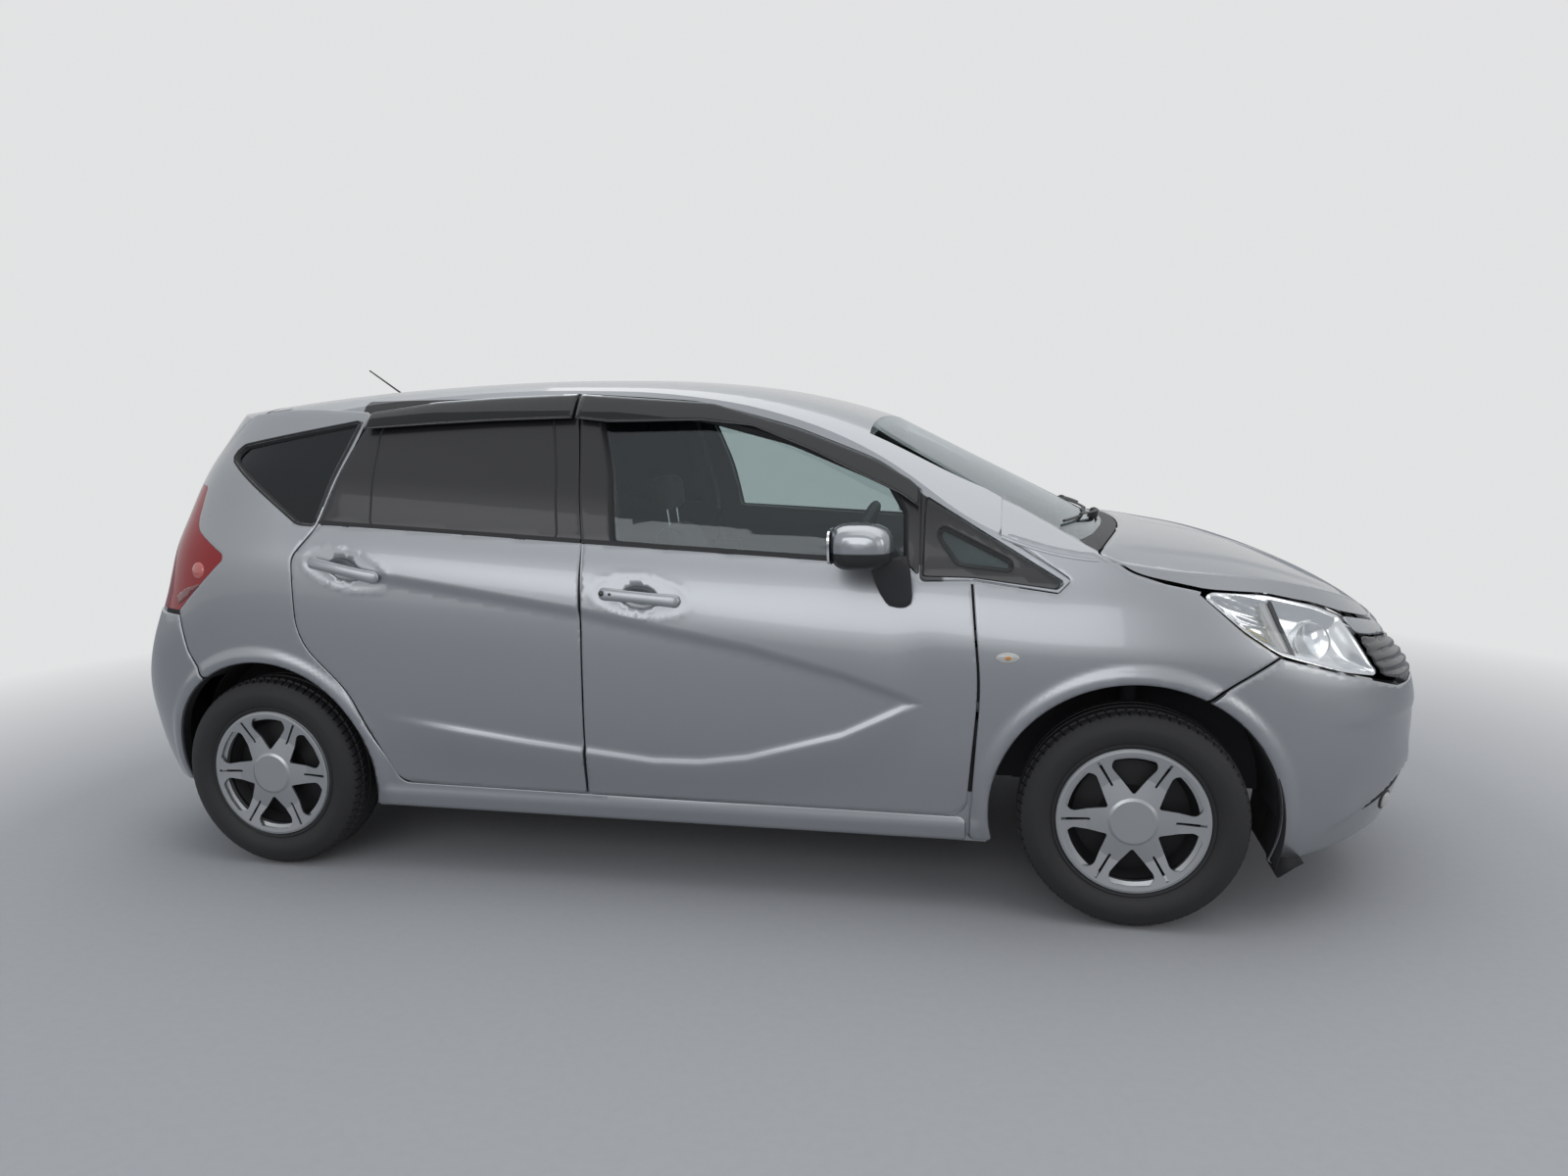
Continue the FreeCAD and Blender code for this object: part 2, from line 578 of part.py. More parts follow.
def knuckle():
    """Front hub carrier about the kingpin, with the foot of its strut and its steering arm."""
    x, z = FRONT_AXLE_X, ARCH_CENTRE_Z
    y = -KINGPIN_Y
    post = Part.makeCylinder(20, 2 * KNUCKLE_HALF, V(x, y, z - KNUCKLE_HALF))
    carrier = cylinder_y(x, z, 42, HUB_REACH - TRACK_FRONT / 2, y + 30)
    arm = block(x - 130, x, y - 8, y + 8, z - 60, z - 44)
    top = block(x - 20, x + 20, y - 15, y + 66, z + KNUCKLE_HALF - 12, z + KNUCKLE_HALF)
    return post.fuse(carrier).fuse(arm).fuse(top)


def front_suspension():
    """Subframe with its lower arms and legs, and the two struts."""
    x, z = FRONT_AXLE_X, ARCH_CENTRE_Z
    y = -KINGPIN_Y
    top = z - KNUCKLE_HALF - REST_GAP
    frame = block(x - 180, x + 40, -330, 0, top - 12, top + 30)
    arm = outline([(y - 18, x + 22, 20), (-330, x + 36), (-330, x - 170), (-360, x - 150, 40), (y - 18, x - 22, 20)],
                  lambda p: V(p.y, p.x, top - 12))
    lower = Part.Face(arm).extrude(V(0, 0, 12))
    leg = block(x - 110, x - 50, -472, -330, top - 12, top + 30).fuse(
        block(x - 110, x - 50, -478, -466, top - 12, APRON_FOOT - REST_GAP))
    strut = Part.makeCylinder(24, TOWER_TOP - z - KNUCKLE_HALF - 2 * REST_GAP,
                              V(x, STRUT_Y, z + KNUCKLE_HALF + REST_GAP))
    return both(frame.fuse(lower).fuse(leg)).fuse(strut).fuse(mirrored(strut))


def rear_axle():
    """Twist beam with its trailing arms, stub axles, springs and dampers."""
    x, z = REAR_AXLE_X, ARCH_CENTRE_Z
    beam = cylinder_y(x + 170, z - 20, 32, -560, 0)
    arm = Part.Face(outline([(x - 60, z - 40, 20), (x - 40, z + 10, 10), (x + 180, z + 10, 60), (x + 370, z - 30, 20),
                             (x + 420, z - 30, 10), (x + 420, z - 75, 20), (x + 180, z - 60, 60)], lambda p: V(p.x, -590, p.y)))
    arm = arm.extrude(V(0, 50, 0))
    stub = cylinder_y(x, z, 26, HUB_REACH - TRACK_REAR / 2, -560)
    spring = Part.makeCylinder(44, LOAD_FLOOR - FLOOR_THICKNESS - REST_GAP - z - 10, V(x + 80, -520, z + 10))
    lug = block(x - 78, x - 42, -643, -585, z - 50, z - 20)
    damper = Part.makeCylinder(18, 300, V(x - 60, -625, z - 40))
    rod = Part.makeCylinder(7, REAR_ARCH_RADIUS - 60 - 24, V(x - 60, -625, z + 60))
    return both(beam.fuse(arm).fuse(stub).fuse(spring).fuse(lug).fuse(damper).fuse(rod))


def floor_pan(shells):
    """Floor with its toe board, rear kick-up, load floor and rear panel, inside the sills."""
    f, g, t = FLOOR_HEIGHT, LOAD_FLOOR, FLOOR_THICKNESS
    line = [(884, 560), (884, 440, 60), (800, f, 80), (-560, f, 60), (-640, g, 60), (-1870, g, 30), (-1870, 640),
            (-1882, 640), (-1882, g - t, 30), (-650, g - t, 60), (-570, f - t, 60), (806, f - t, 80), (896, 440, 60),
            (896, 560)]
    pan = side_prism(line, 0, -800, 0).common(shells["inner"])
    bracket = block(REAR_AXLE_X + 390, REAR_AXLE_X + 420, -600, -540, ARCH_CENTRE_Z - 30 + REST_GAP, g - t)
    pan = pan.fuse(bracket)
    for x, r, y in ((REAR_AXLE_X, REAR_ARCH_RADIUS + 6, -600), (FRONT_AXLE_X, FRONT_ARCH_RADIUS + 6, -466)):
        pan = pan.cut(wheel_arch(x, r, -900, y + REST_GAP))
    return both(pan)


def engine_bay(shells):
    """Bulkhead, inner wings with the wheel liners, strut towers, cowl shelf, front frame and bumper beam."""
    x, z, r = FRONT_AXLE_X, ARCH_CENTRE_Z, FRONT_ARCH_RADIUS
    bulkhead = block(884, 896, -700, 0, 560, COWL_SHELF)
    shelf = block(884, 1120, -HOOD_HINGE_Y + 18, 0, COWL_SHELF, COWL_SHELF + 12)
    apron = block(896, 1650, -478, -466, APRON_FOOT, 870)
    liner = cylinder_y(x, z, r + 6, -850, -466).cut(cylinder_y(x, z, r, -900, -478))
    behind_joint = block(x - 400, BUMPER_JOINT_X, -900, -466, z, 900).common(shells["seat"])
    ahead_joint = block(BUMPER_JOINT_X, x + 400, -900, -466, z, 900).common(shells["skin"])
    liner = liner.common(behind_joint.fuse(ahead_joint))
    beam = block(896, 1360, -700, -640, 800, 840)
    post = block(1560, 1650, -500, -466, 600, 780)
    tower = Part.makeCylinder(60, TOWER_TOP + 10 - 640, V(x, STRUT_Y, 640))
    tower = tower.fuse(block(x - 60, x + 60, STRUT_Y, -466, TOWER_TOP, TOWER_TOP + 10))
    front = block(1640, 1690, -900, 0, 700, 780).fuse(block(1640, 1690, -560, -500, 300, 740))
    front = front.fuse(block(1640, 1690, -560, 0, 260, 300))
    shape = bulkhead.fuse(shelf).fuse(front).common(shells["inner"])
    shape = shape.fuse(apron).fuse(liner).fuse(beam).fuse(post).fuse(tower)
    shape = shape.cut(Part.makeCylinder(50, TOWER_TOP - 600, V(x, STRUT_Y, 600)))
    beam = block(1690, 2100, -640, 0, 480, 590).common(shells["skin"]).cut(ring(SKIN + 60, SKIN + 60))
    horn = block(1690, 2000, -540, -500, 500, 570).common(shells["skin"])
    shape = shape.fuse(beam).fuse(horn)
    shape = shape.cut(shells_above_hood(shells))
    hinge_x, hinge_y, hinge_z = HOOD_HINGE_X, HOOD_HINGE_Y, HOOD_HINGE_Z
    plate = block(hinge_x - 9, hinge_x + 9, 12 - hinge_y, 18 - hinge_y, COWL_SHELF, hinge_z + 9)
    pin = cylinder_y(hinge_x, hinge_z, PIN_RADIUS, -hinge_y - 10, 18 - hinge_y)
    return both(shape.fuse(plate).fuse(pin))


def hood_neck():
    """Goose-necked arm from the hood's underside to its hinge pin."""
    x, z = HOOD_HINGE_X, HOOD_HINGE_Z
    arm = Part.Face(outline([(x - 6, z + 2), (x - 2, z - 76, 10), (x + 130, z - 76, 10), (x + 130, z - 22),
                             (x + 116, z - 22), (x + 116, z - 62, 10), (x + 12, z - 62, 10), (x + 8, z + 2)],
                            lambda p: V(p.x, -HOOD_HINGE_Y - 10, p.y))).extrude(V(0, 20, 0))
    arm = arm.fuse(cylinder_y(x, z, KNUCKLE_RADIUS, -HOOD_HINGE_Y - 10, 10 - HOOD_HINGE_Y))
    return arm.cut(cylinder_y(x, z, PIN_RADIUS + PIN_CLEARANCE, -900, 0))


def tailgate_neck():
    """Goose-necked arm from the tailgate's inner face to its hinge pin."""
    x, z = GATE_HINGE_X, GATE_HINGE_Z
    arm = Part.Face(outline([(x + 6, z + 2), (x + 10, z - 78, 10), (x - 130, z - 78, 10), (x - 130, z - 15),
                             (x - 116, z - 15), (x - 116, z - 64, 10), (x - 4, z - 64, 10), (x - 6, z + 2)],
                            lambda p: V(p.x, -GATE_HINGE_Y - 10, p.y))).extrude(V(0, 20, 0))
    arm = arm.fuse(cylinder_y(x, z, KNUCKLE_RADIUS, -GATE_HINGE_Y - 10, 10 - GATE_HINGE_Y))
    return arm.cut(cylinder_y(x, z, PIN_RADIUS + PIN_CLEARANCE, -900, 0))


def shells_above_hood(shells):
    """Space above the underside of the hood and the screen."""
    return raised(shells["over"], -SKIN - 4)


def seat(y):
    """Front seat: cushion, leaning backrest and headrest on a plinth."""
    base = block(-260, 120, y - 200, y + 200, FLOOR_HEIGHT + REST_GAP, 330)
    cushion = side_prism([(-330, 330, 30), (150, 330, 40), (180, 480, 60), (-300, 440, 60)], 0, y - 250, y + 250)
    back = side_prism([(-330, 430, 40), (-200, 450, 40), (-360, 1010, 60), (-470, 1010, 60)], 0, y - 240, y + 240)
    head = side_prism([(-470, 1040, 30), (-390, 1040, 30), (-400, 1190, 40), (-490, 1190, 40)], 0, y - 130, y + 130)
    posts = [Part.makeCylinder(6, 60, V(-425, y + dy, 1000)) for dy in (-60, 60)]
    shape = base.fuse(cushion).fuse(back).fuse(head)
    for post in posts:
        shape = shape.fuse(post)
    return shape


def rear_seat():
    """Bench cushion and backrest across the cabin."""
    foot = LOAD_FLOOR + REST_GAP
    cushion = side_prism([(-1060, foot, 20), (-640, foot, 20), (-590, 500, 50), (-1050, 480, 40)], 0, -560, 560)
    back = side_prism([(-1110, foot, 30), (-1000, 470, 40), (-1130, 960, 50), (-1220, 960, 50)], 0, -560, 560)
    shape = cushion.fuse(back)
    for y in (-330, 330):
        shape = shape.fuse(side_prism([(-1225, 950, 20), (-1150, 950, 20), (-1160, 1090, 30), (-1235, 1090, 30)],
                                      0, y - 120, y + 120))
    return shape


def dashboard(shells):
    """Dashboard across the cabin, with the hood over its dials."""
    body = side_prism([(600, 560, 40), (884, 560), (884, 940), (760, 975, 60), (560, 930, 60), (540, 820, 80)],
                      0, -740, 0).common(shells["inner"])
    return both(body).fuse(on_column(Part.makeCylinder(30, 260, V(0, 0, -128 - REST_GAP - 260))))


def on_column(shape):
    """A shape made about the vertical, put on the steering column's tilted axis."""
    shape.rotate(V(0, 0, 0), V(0, 0, 1), 90)
    shape.rotate(V(0, 0, 0), V(0, 1, 0), COLUMN_TILT - 90)
    shape.translate(V(STEER_X, STEER_Y, STEER_Z))
    return shape


def steering_wheel():
    """Steering wheel with its boss and two spokes on the tilted column axis."""
    ring_bar = Part.makeTorus(STEER_RADIUS, 14, V(0, 0, 0), V(0, 0, 1))
    boss = Part.makeCylinder(55, 40, V(0, 0, -38))
    bar = block(-STEER_RADIUS + 6, STEER_RADIUS - 6, -22, 22, -10, 4)
    stub = Part.makeCylinder(18, 90, V(0, 0, -128))
    return on_column(ring_bar.fuse(boss).fuse(bar).fuse(stub))


def aerial():
    """Short rod aerial, leaning back on its foot at the rear of the roof."""
    x, z = AERIAL_X, roof_z(AERIAL_X, 0)
    foot = Part.makeCone(22, 12, 16, V(x, 0, z - 3))
    rod = Part.makeCone(3.5, 2.5, 170, V(x, 0, z + 8), V(-1.3, 0, 0.9))
    return foot.fuse(rod)



def exhaust():
    """Exhaust pipe from the engine to the rear silencer and its tail pipe."""
    z = FLOOR_HEIGHT - FLOOR_THICKNESS - 32
    top = LOAD_FLOOR - FLOOR_THICKNESS - REST_GAP
    pipe = Part.makeCylinder(24, 2330, V(990, 120, z), V(-1, 0, 0))
    down = Part.makeCylinder(24, 120, V(990, 120, z), V(0, 0, 1))
    branch = Part.makeCylinder(24, ENGINE_REAR_X - REST_GAP - 975, V(975, 120, z + 110), V(1, 0, 0))
    link = Part.makeCylinder(24, 440, V(-1330, 120, z), V(-1, 0, 0.18))
    drum = Part.makeCylinder(85, 420, V(-1730, -60, top - 85), V(0, 1, 0))
    tail = Part.makeCylinder(22, 230, V(-1760, 330, z + 22), V(-1, 0, -0.02))
    rise = Part.makeCylinder(22, 90, V(-1760, 330, z + 22), V(0.3, 0, 1))
    return pipe.fuse([down, branch, link, drum, tail, rise])


def fuel_tank():
    """Flat fuel tank under the rear seat."""
    top = LOAD_FLOOR - FLOOR_THICKNESS - REST_GAP
    return side_prism([(-1040, top, 20), (-700, top, 20), (-690, 240, 40), (-1040, 240, 40)], 0, -480, 60)


def mirror_housing():
    """Door mirror: a rounded housing lofted outwards, and its foot on the door's skin."""
    sections = []
    for y, x0, x1, z0, z1, radius in ((-812, 470, 560, 1000, 1060, 25), (-850, 440, 585, 985, 1092, 45),
                                      (-920, 425, 580, 985, 1108, 50), (-975, 430, 555, 995, 1100, 45),
                                      (-998, 450, 520, 1015, 1080, 30)):
        points = [(x0, z0, radius), (x1, z0 + 8, radius), (x1 - 20, z1, radius), (x0 + 6, z1, radius)]
        sections.append(outline(points, lambda p, y=y: V(p.x, y, p.y)))
    shell = Part.makeLoft(sections, True)
    foot = prism([(-905, 1000), (-850, 880, 8), (-820, 872), (-800, 900), (-820, 1020)],
                 lambda p: V(500, p.x, p.y), V(55, 0, 0))
    return shell.fuse(foot)


def main():
    os.makedirs("parts", exist_ok=True)
    shells = build_shells()
    leaves = []
    panels = {}
    doors = (("front", FRONT_DOOR, FRONT_GLASS, FRONT_POCKET, FRONT_HINGE_X, FRONT_STEPS),
             ("rear", REAR_DOOR, REAR_GLASS, REAR_POCKET, REAR_HINGE_X, REAR_STEPS))
    for name, points, glass, pocket, hinge_x, steps in doors:
        panel, pane, fixed = door(shells, points, glass, pocket, hinge_x, steps)
        if name == "rear":
            panel = panel.cut(wheel_arch(REAR_AXLE_X, REAR_ARCH_RADIUS + 30, -900, -640))
        leaves += fixed
        panels["door_" + name] = panel
        panels["door_glass_" + name] = pane
    front_skin = shells["body"].cut(shells["seat"])
    fender = front_skin.common(side_prism(FENDER, SHUT_GAP / 2))
    fender = fender.cut(wheel_arch(FRONT_AXLE_X, FRONT_ARCH_RADIUS, -900, -400))
    panels["fender"] = fender
    panels["body_side"] = body_side(shells, leaves)
    panels["mirror"] = mirror_housing().cut(shells["outer"])
    for name, shape in panels.items():
        save(name + "_right", shape)
        save(name + "_left", mirrored(shape))
    wall = shells["body"].cut(shells["cavity"])
    middle = block(-2200, 2200, -ROOF_PANEL_Y, 10, 100, 1700)
    roof = wall.common(middle).common(block(ROOF_REAR_X, HEADER_X, -900, 0, 1200, 1600))
    x, y, z = GATE_HINGE_X, GATE_HINGE_Y, GATE_HINGE_Z
    roof = roof.cut(block(x - 75, x + 26, -y - 12, 12 - y, z - 60, z + 10.5))
    roof = roof.fuse(cylinder_y(x, z, PIN_RADIUS, -y - 12, 12 - y))
    save("roof_panel", both(roof))
    screen = under(shells, shells["inner"], 0).common(raised(shells["over"], -GLASS * 1.2))
    screen = screen.common(behind(SCREEN_END, SCREEN_BOW, 720, 0)).common(block(HEADER_X, 2000, -900, 0, 500, 1600))
    save("windshield", both(screen))
    band = shells["body"].common(raised(shells["over"], -20)).common(block(800, 2000, -740, 0, 700, 1300))
    cowl = band.cut(behind(SCREEN_END, SCREEN_BOW, 720, -REST_GAP)).common(
        behind(COWL_FRONT, COWL_BOW, 777, SHUT_GAP))
    save("cowl_panel", both(cowl))
    hood_skin = shells["body"].cut(under(shells, shells["skin"], -20))
    hood = hood_skin.common(side_prism(HOOD, SHUT_GAP / 2)).cut(behind(COWL_FRONT, COWL_BOW, 777, 0))
    save("hood", both(hood.fuse(hood_neck())))
    bumper_skin = shells["body"].cut(shells["skin"])
    bumper = bumper_skin.common(side_prism(FRONT_BUMPER, SHUT_GAP / 2))
    nose_strip = bumper_skin.common(front_prism([(0, 600), (-440, 600), (-440, 900), (0, 900)], 1500, 2100))
    nose_strip = nose_strip.cut(side_prism(HOOD, -SHUT_GAP / 2))
    bumper = bumper.fuse(nose_strip).cut(wheel_arch(FRONT_AXLE_X, FRONT_ARCH_RADIUS, -900, -400))
    for hole in (GRILLE, LOWER_GRILLE):
        bumper = bumper.cut(front_prism(hole, 1500, 2100))
    save("front_bumper", both(bumper))
    frames = []
    for hole, heights in ((GRILLE, (655, 690, 725, 760)), (LOWER_GRILLE, (275, 320, 365, 410))):
        field = front_prism(hole, 1500, 2100, -4)
        bars = block(1400, 2100, -20, 0, 200, 900)
        for z in heights:
            bars = bars.fuse(block(1400, 2100, -600, 0, z, z + 12))
        frames.append(field.common(bars).fuse(field.cut(front_prism(hole, 1400, 2200, 12))))
    grille = frames[0].fuse(frames[1]).common(shells["skin"]).cut(ring(SKIN * 2, SKIN * 2))
    save("grille", both(grille))
    lamp = shells["body"].cut(shells["inner"]).common(side_prism(HEADLAMP, SHUT_GAP / 2))
    lamp = lamp.common(block(1300, 2100, -900, -440 - SHUT_GAP, 500, 1000)).cut(side_prism(HOOD, -SHUT_GAP / 2))
    save("headlamps", Part.makeCompound([lamp, mirrored(lamp)]))
    tail = shells["body"].cut(shells["inner"]).common(side_prism(TAIL_LAMP, TRIM_GAP))
    tail = tail.cut(front_prism(TAILGATE, -2100, -1400, -SHUT_GAP / 2))
    save("tail_lamps", Part.makeCompound([tail, mirrored(tail)]))
    rear = bumper_skin.common(side_prism(REAR_BUMPER, TRIM_GAP))
    rear = rear.cut(front_prism(TAILGATE, -2100, -1400, -SHUT_GAP / 2))
    rear = rear.cut(wheel_arch(REAR_AXLE_X, REAR_ARCH_RADIUS, -900, -400))
    save("rear_bumper", both(rear))
    gate = wall.common(front_prism(TAILGATE, -2100, ROOF_REAR_X - SHUT_GAP, SHUT_GAP / 2 - 0.01))
    gate = gate.cut(front_prism(TAILGATE_GLASS, -2100, -1400))
    gate = gate.cut(cylinder_y(GATE_HINGE_X, GATE_HINGE_Z, GATE_SWING, -900, 20))
    save("tailgate", both(gate.fuse(tailgate_neck())))
    pane = shells["glass"].common(front_prism(TAILGATE_GLASS, -2100, -1500, REST_GAP))
    save("tailgate_glass", both(pane))
    pane = shells["glass"].common(side_prism(QUARTER_GLASS, REST_GAP))
    save("quarter_glass", Part.makeCompound([pane, mirrored(pane)]))
    corner = shells["outer"].cut(shells["skin"]).common(side_prism(CORNER_GLASS, TRIM_GAP))
    save("corner_windows", Part.makeCompound([corner, mirrored(corner)]))
    save("floor_pan", floor_pan(shells))
    save("engine_bay", engine_bay(shells))
    save("dashboard", dashboard(shells))
    save("steering_wheel", steering_wheel())
    save("front_seat_right", seat(-370))
    save("front_seat_left", seat(370))
    save("rear_seat", rear_seat())
    save("engine_block", block(ENGINE_REAR_X, 1480, -420, 420, ARCH_CENTRE_Z - KNUCKLE_HALF + 30, 800))
    save("aerial", aerial().cut(raised(shells["roof"], REST_GAP)))
    save("exhaust", exhaust())
    save("fuel_tank", fuel_tank())
    save("front_suspension", front_suspension())
    save("rear_axle", rear_axle())
    for piece, shape in (("wheel", wheel()), ("tyre", tyre())):
        for end, x, track in (("front", FRONT_AXLE_X, TRACK_FRONT), ("rear", REAR_AXLE_X, TRACK_REAR)):
            placed = shape.copy()
            placed.translate(V(x, -track / 2, ARCH_CENTRE_Z))
            save(piece + "_" + end + "_right", placed)
            save(piece + "_" + end + "_left", mirrored(placed))
    save("knuckle_right", knuckle())
    save("knuckle_left", mirrored(knuckle()))


main()
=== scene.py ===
import math
from types import SimpleNamespace

import bmesh
import bpy
import numpy as np
from mathutils import Matrix, Vector
from mathutils.geometry import delaunay_2d_cdt


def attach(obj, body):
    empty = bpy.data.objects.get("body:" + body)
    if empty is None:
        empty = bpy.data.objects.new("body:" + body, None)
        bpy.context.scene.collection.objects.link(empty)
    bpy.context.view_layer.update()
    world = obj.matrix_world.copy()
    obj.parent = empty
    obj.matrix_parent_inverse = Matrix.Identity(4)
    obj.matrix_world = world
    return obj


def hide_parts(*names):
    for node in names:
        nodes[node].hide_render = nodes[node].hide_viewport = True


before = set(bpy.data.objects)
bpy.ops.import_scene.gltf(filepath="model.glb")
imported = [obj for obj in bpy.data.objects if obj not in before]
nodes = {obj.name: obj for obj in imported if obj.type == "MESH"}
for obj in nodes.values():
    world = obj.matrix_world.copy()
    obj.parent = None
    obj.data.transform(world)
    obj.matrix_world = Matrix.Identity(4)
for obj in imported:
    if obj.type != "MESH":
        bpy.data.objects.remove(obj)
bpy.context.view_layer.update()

# Metres, as the frame: X forward, Y to the left, Z up, ground at zero.
FRONT_AXLE_X, REAR_AXLE_X = 1.212, -1.388
AXLE_Z = 0.303
TRACK_FRONT, TRACK_REAR = 1.480, 1.485
TYRE_RADIUS, TYRE_WIDTH, RIM_RADIUS = 0.303, 0.185, 0.200
FRONT_ARCH_RADIUS, REAR_ARCH_RADIUS = 0.378, 0.360

# How far a dressed panel stands off the solid panel under it, and the roll of its edge
SKIN_LIFT = 0.0016
HEM_RADIUS = 0.0026
PANEL_STEP = 0.013
RIM_SPACING = 0.012
PANEL_INSET = 0.0029
TINY = 1e-9

# Rows of the body's plan: height at mid-length, share of the belt's slope, half width, nose and tail
ROWS = [
    (0.140, 0, 0.768, 1.930, -1.945), (0.230, 0, 0.800, 1.988, -1.985), (0.330, 0, 0.814, 2.027, -2.025),
    (0.450, 0, 0.831, 2.048, -2.046), (0.580, 0, 0.843, 2.046, -2.049), (0.700, 0.3, 0.8475, 2.019, -2.002),
    (0.800, 0.6, 0.845, 1.963, -1.942), (0.890, 1, 0.832, 1.905, -1.902), (0.950, 1, 0.815, 1.843, -1.882),
    (0.997, 1, 0.797, 1.790, -1.864), (1.060, 1, 0.775, 1.710, -1.839), (1.150, 1, 0.744, 1.600, -1.797),
    (1.260, 0.8, 0.692, 1.480, -1.746), (1.370, 0.5, 0.643, 1.380, -1.699),
    (1.450, 0.15, 0.600, 1.320, -1.672), (1.510, 0, 0.556, 1.290, -1.645), (1.580, 0, 0.498, 1.260, -1.605),
]
COLUMNS = 45
CAP_FRONT_X, CAP_REAR_X = 0.912, -0.988
NOSE_POWERS, TAIL_POWERS = (3.2, 2.9), (5.0, 3.5)
OVERLAP_Y = 0.150
BELT_HEIGHT, BELT_SLOPE = 0.997, -0.069
TABLE_U, TABLE_V = 900, 320
LAST_U, LAST_V = TABLE_U - 1.001, TABLE_V - 1.001


# Small sums

def unit(vectors):
    """Vectors scaled to length 1."""
    return vectors / np.maximum(np.linalg.norm(vectors, axis=-1, keepdims=True), TINY)


def turns(count):
    """Angles at even steps of a full turn."""
    return np.linspace(0, 2 * math.pi, count, endpoint=False)


def signed_power(values, power):
    """Power of the size of each value, with the value's sign."""
    return np.sign(values) * np.abs(values) ** power


def loop_runs(loop):
    """At each point of a closed loop, the run from the point before it to the point after it."""
    return np.roll(loop, -1, axis=0) - np.roll(loop, 1, axis=0)


def left_of(runs):
    """Flat runs turned a quarter to the left."""
    return np.column_stack([-runs[:, 1], runs[:, 0]])


def smooth_step(x, low, high):
    """0 below low, 1 above high, an even S between: t*t*(3 - 2t)."""
    t = np.clip((x - low) / (high - low), 0, 1)
    return t * t * (3 - 2 * t)


def hump(x, low, top, end, foot):
    """Rises from 0 to 1 between low and top, and falls back between end and foot."""
    return smooth_step(x, low, top) * (1 - smooth_step(x, end, foot))


# Body surface

def belt_z(x):
    """Belt height: a straight line falling forward, level past its two ends."""
    return BELT_HEIGHT + BELT_SLOPE * np.clip(x, -1.3, 1.0)


def plan_curve(half_width, nose, tail):
    """One row seen from above: quarter superellipses at the nose and the tail, joined along the side."""
    parts = []
    for cap_x, end, (n, m), reverse in ((CAP_FRONT_X, nose, NOSE_POWERS, False),
                                        (CAP_REAR_X, tail, TAIL_POWERS, True)):
        angle = np.linspace(-math.asin((OVERLAP_Y / half_width) ** (m / 2)), math.pi / 2, 121)
        side = np.sign(angle) * np.abs(np.sin(angle)) ** (2 / m)
        cap = np.stack([cap_x + (end - cap_x) * np.abs(np.cos(angle)) ** (2 / n), -half_width * side], 1)
        parts.append(cap[::-1] if reverse else cap)
    return np.concatenate(parts)


def even_points(curve, count):
    """Points at even steps of arc length along a polyline."""
    run = np.r_[0, np.cumsum(np.linalg.norm(np.diff(curve, axis=0), axis=1))]
    at = np.linspace(0, run[-1], count)
    return np.stack([np.interp(at, run, curve[:, i]) for i in range(curve.shape[1])], 1)


def spline_weights(knots, at):
    """Matrix that turns values at the knots into values of the smooth cubic through them at other places."""
    n = len(knots)
    h = np.diff(knots)
    left, right = np.zeros((n, n)), np.zeros((n, n))
    inner = np.arange(1, n - 1)
    left[inner, inner - 1], left[inner, inner], left[inner, inner + 1] = h[:-1], 2 * (h[:-1] + h[1:]), h[1:]
    right[inner, inner - 1], right[inner, inner + 1] = 6 / h[:-1], 6 / h[1:]
    right[inner, inner] = -6 / h[:-1] - 6 / h[1:]
    left[0, :3] = h[1], -(h[0] + h[1]), h[0]
    left[-1, -3:] = h[-1], -(h[-1] + h[-2]), h[-2]
    bend = np.linalg.solve(left, right)
    k = np.clip(np.searchsorted(knots, at, side="right") - 1, 0, n - 2)
    a, b = (knots[k + 1] - at) / h[k], (at - knots[k]) / h[k]
    weights = np.zeros((len(at), n))
    rows = np.arange(len(at))
    weights[rows, k] += a
    weights[rows, k + 1] += b
    weights += ((a ** 3 - a) * h[k] ** 2 / 6)[:, None] * bend[k]
    return weights + ((b ** 3 - b) * h[k] ** 2 / 6)[:, None] * bend[k + 1]


def side_table():
    """Fine table of the right side's surface: the rows' plan curves joined by cubics both ways."""
    grid = []
    for z0, share, half_width, nose, tail in ROWS:
        curve = even_points(plan_curve(half_width, nose, tail), COLUMNS)
        z = z0 + share * (belt_z(curve[:, 0]) - BELT_HEIGHT)
        grid.append(np.column_stack([curve, z]))
    grid = np.array(grid)
    rise = np.linalg.norm(np.diff(grid, axis=0), axis=2).mean(1)
    heights = np.r_[0, np.cumsum(rise)]
    up = spline_weights(heights, np.linspace(0, heights[-1], TABLE_V))
    along = spline_weights(np.arange(COLUMNS, dtype=float), np.linspace(0, COLUMNS - 1, TABLE_U))
    return np.einsum("ab,bcd,ec->aed", up, grid, along)


SIDE = side_table()
SIDE_LENGTH = 5.6
DU = np.gradient(SIDE, axis=1)
DV = np.gradient(SIDE, axis=0)
NORMAL = unit(np.cross(DU, DV))
if NORMAL[TABLE_V // 2, TABLE_U // 2, 1] > 0:
    NORMAL = -NORMAL


def sample(table, u, v):
    """Value of a table at fractional columns u and rows v, straight between its entries."""
    u, v = np.clip(u, 0, LAST_U), np.clip(v, 0, LAST_V)
    i, j = v.astype(int), u.astype(int)
    a, b = (v - i)[:, None], (u - j)[:, None]
    return (table[i, j] * (1 - a) * (1 - b) + table[i + 1, j] * a * (1 - b)
            + table[i, j + 1] * (1 - a) * b + table[i + 1, j + 1] * a * b)


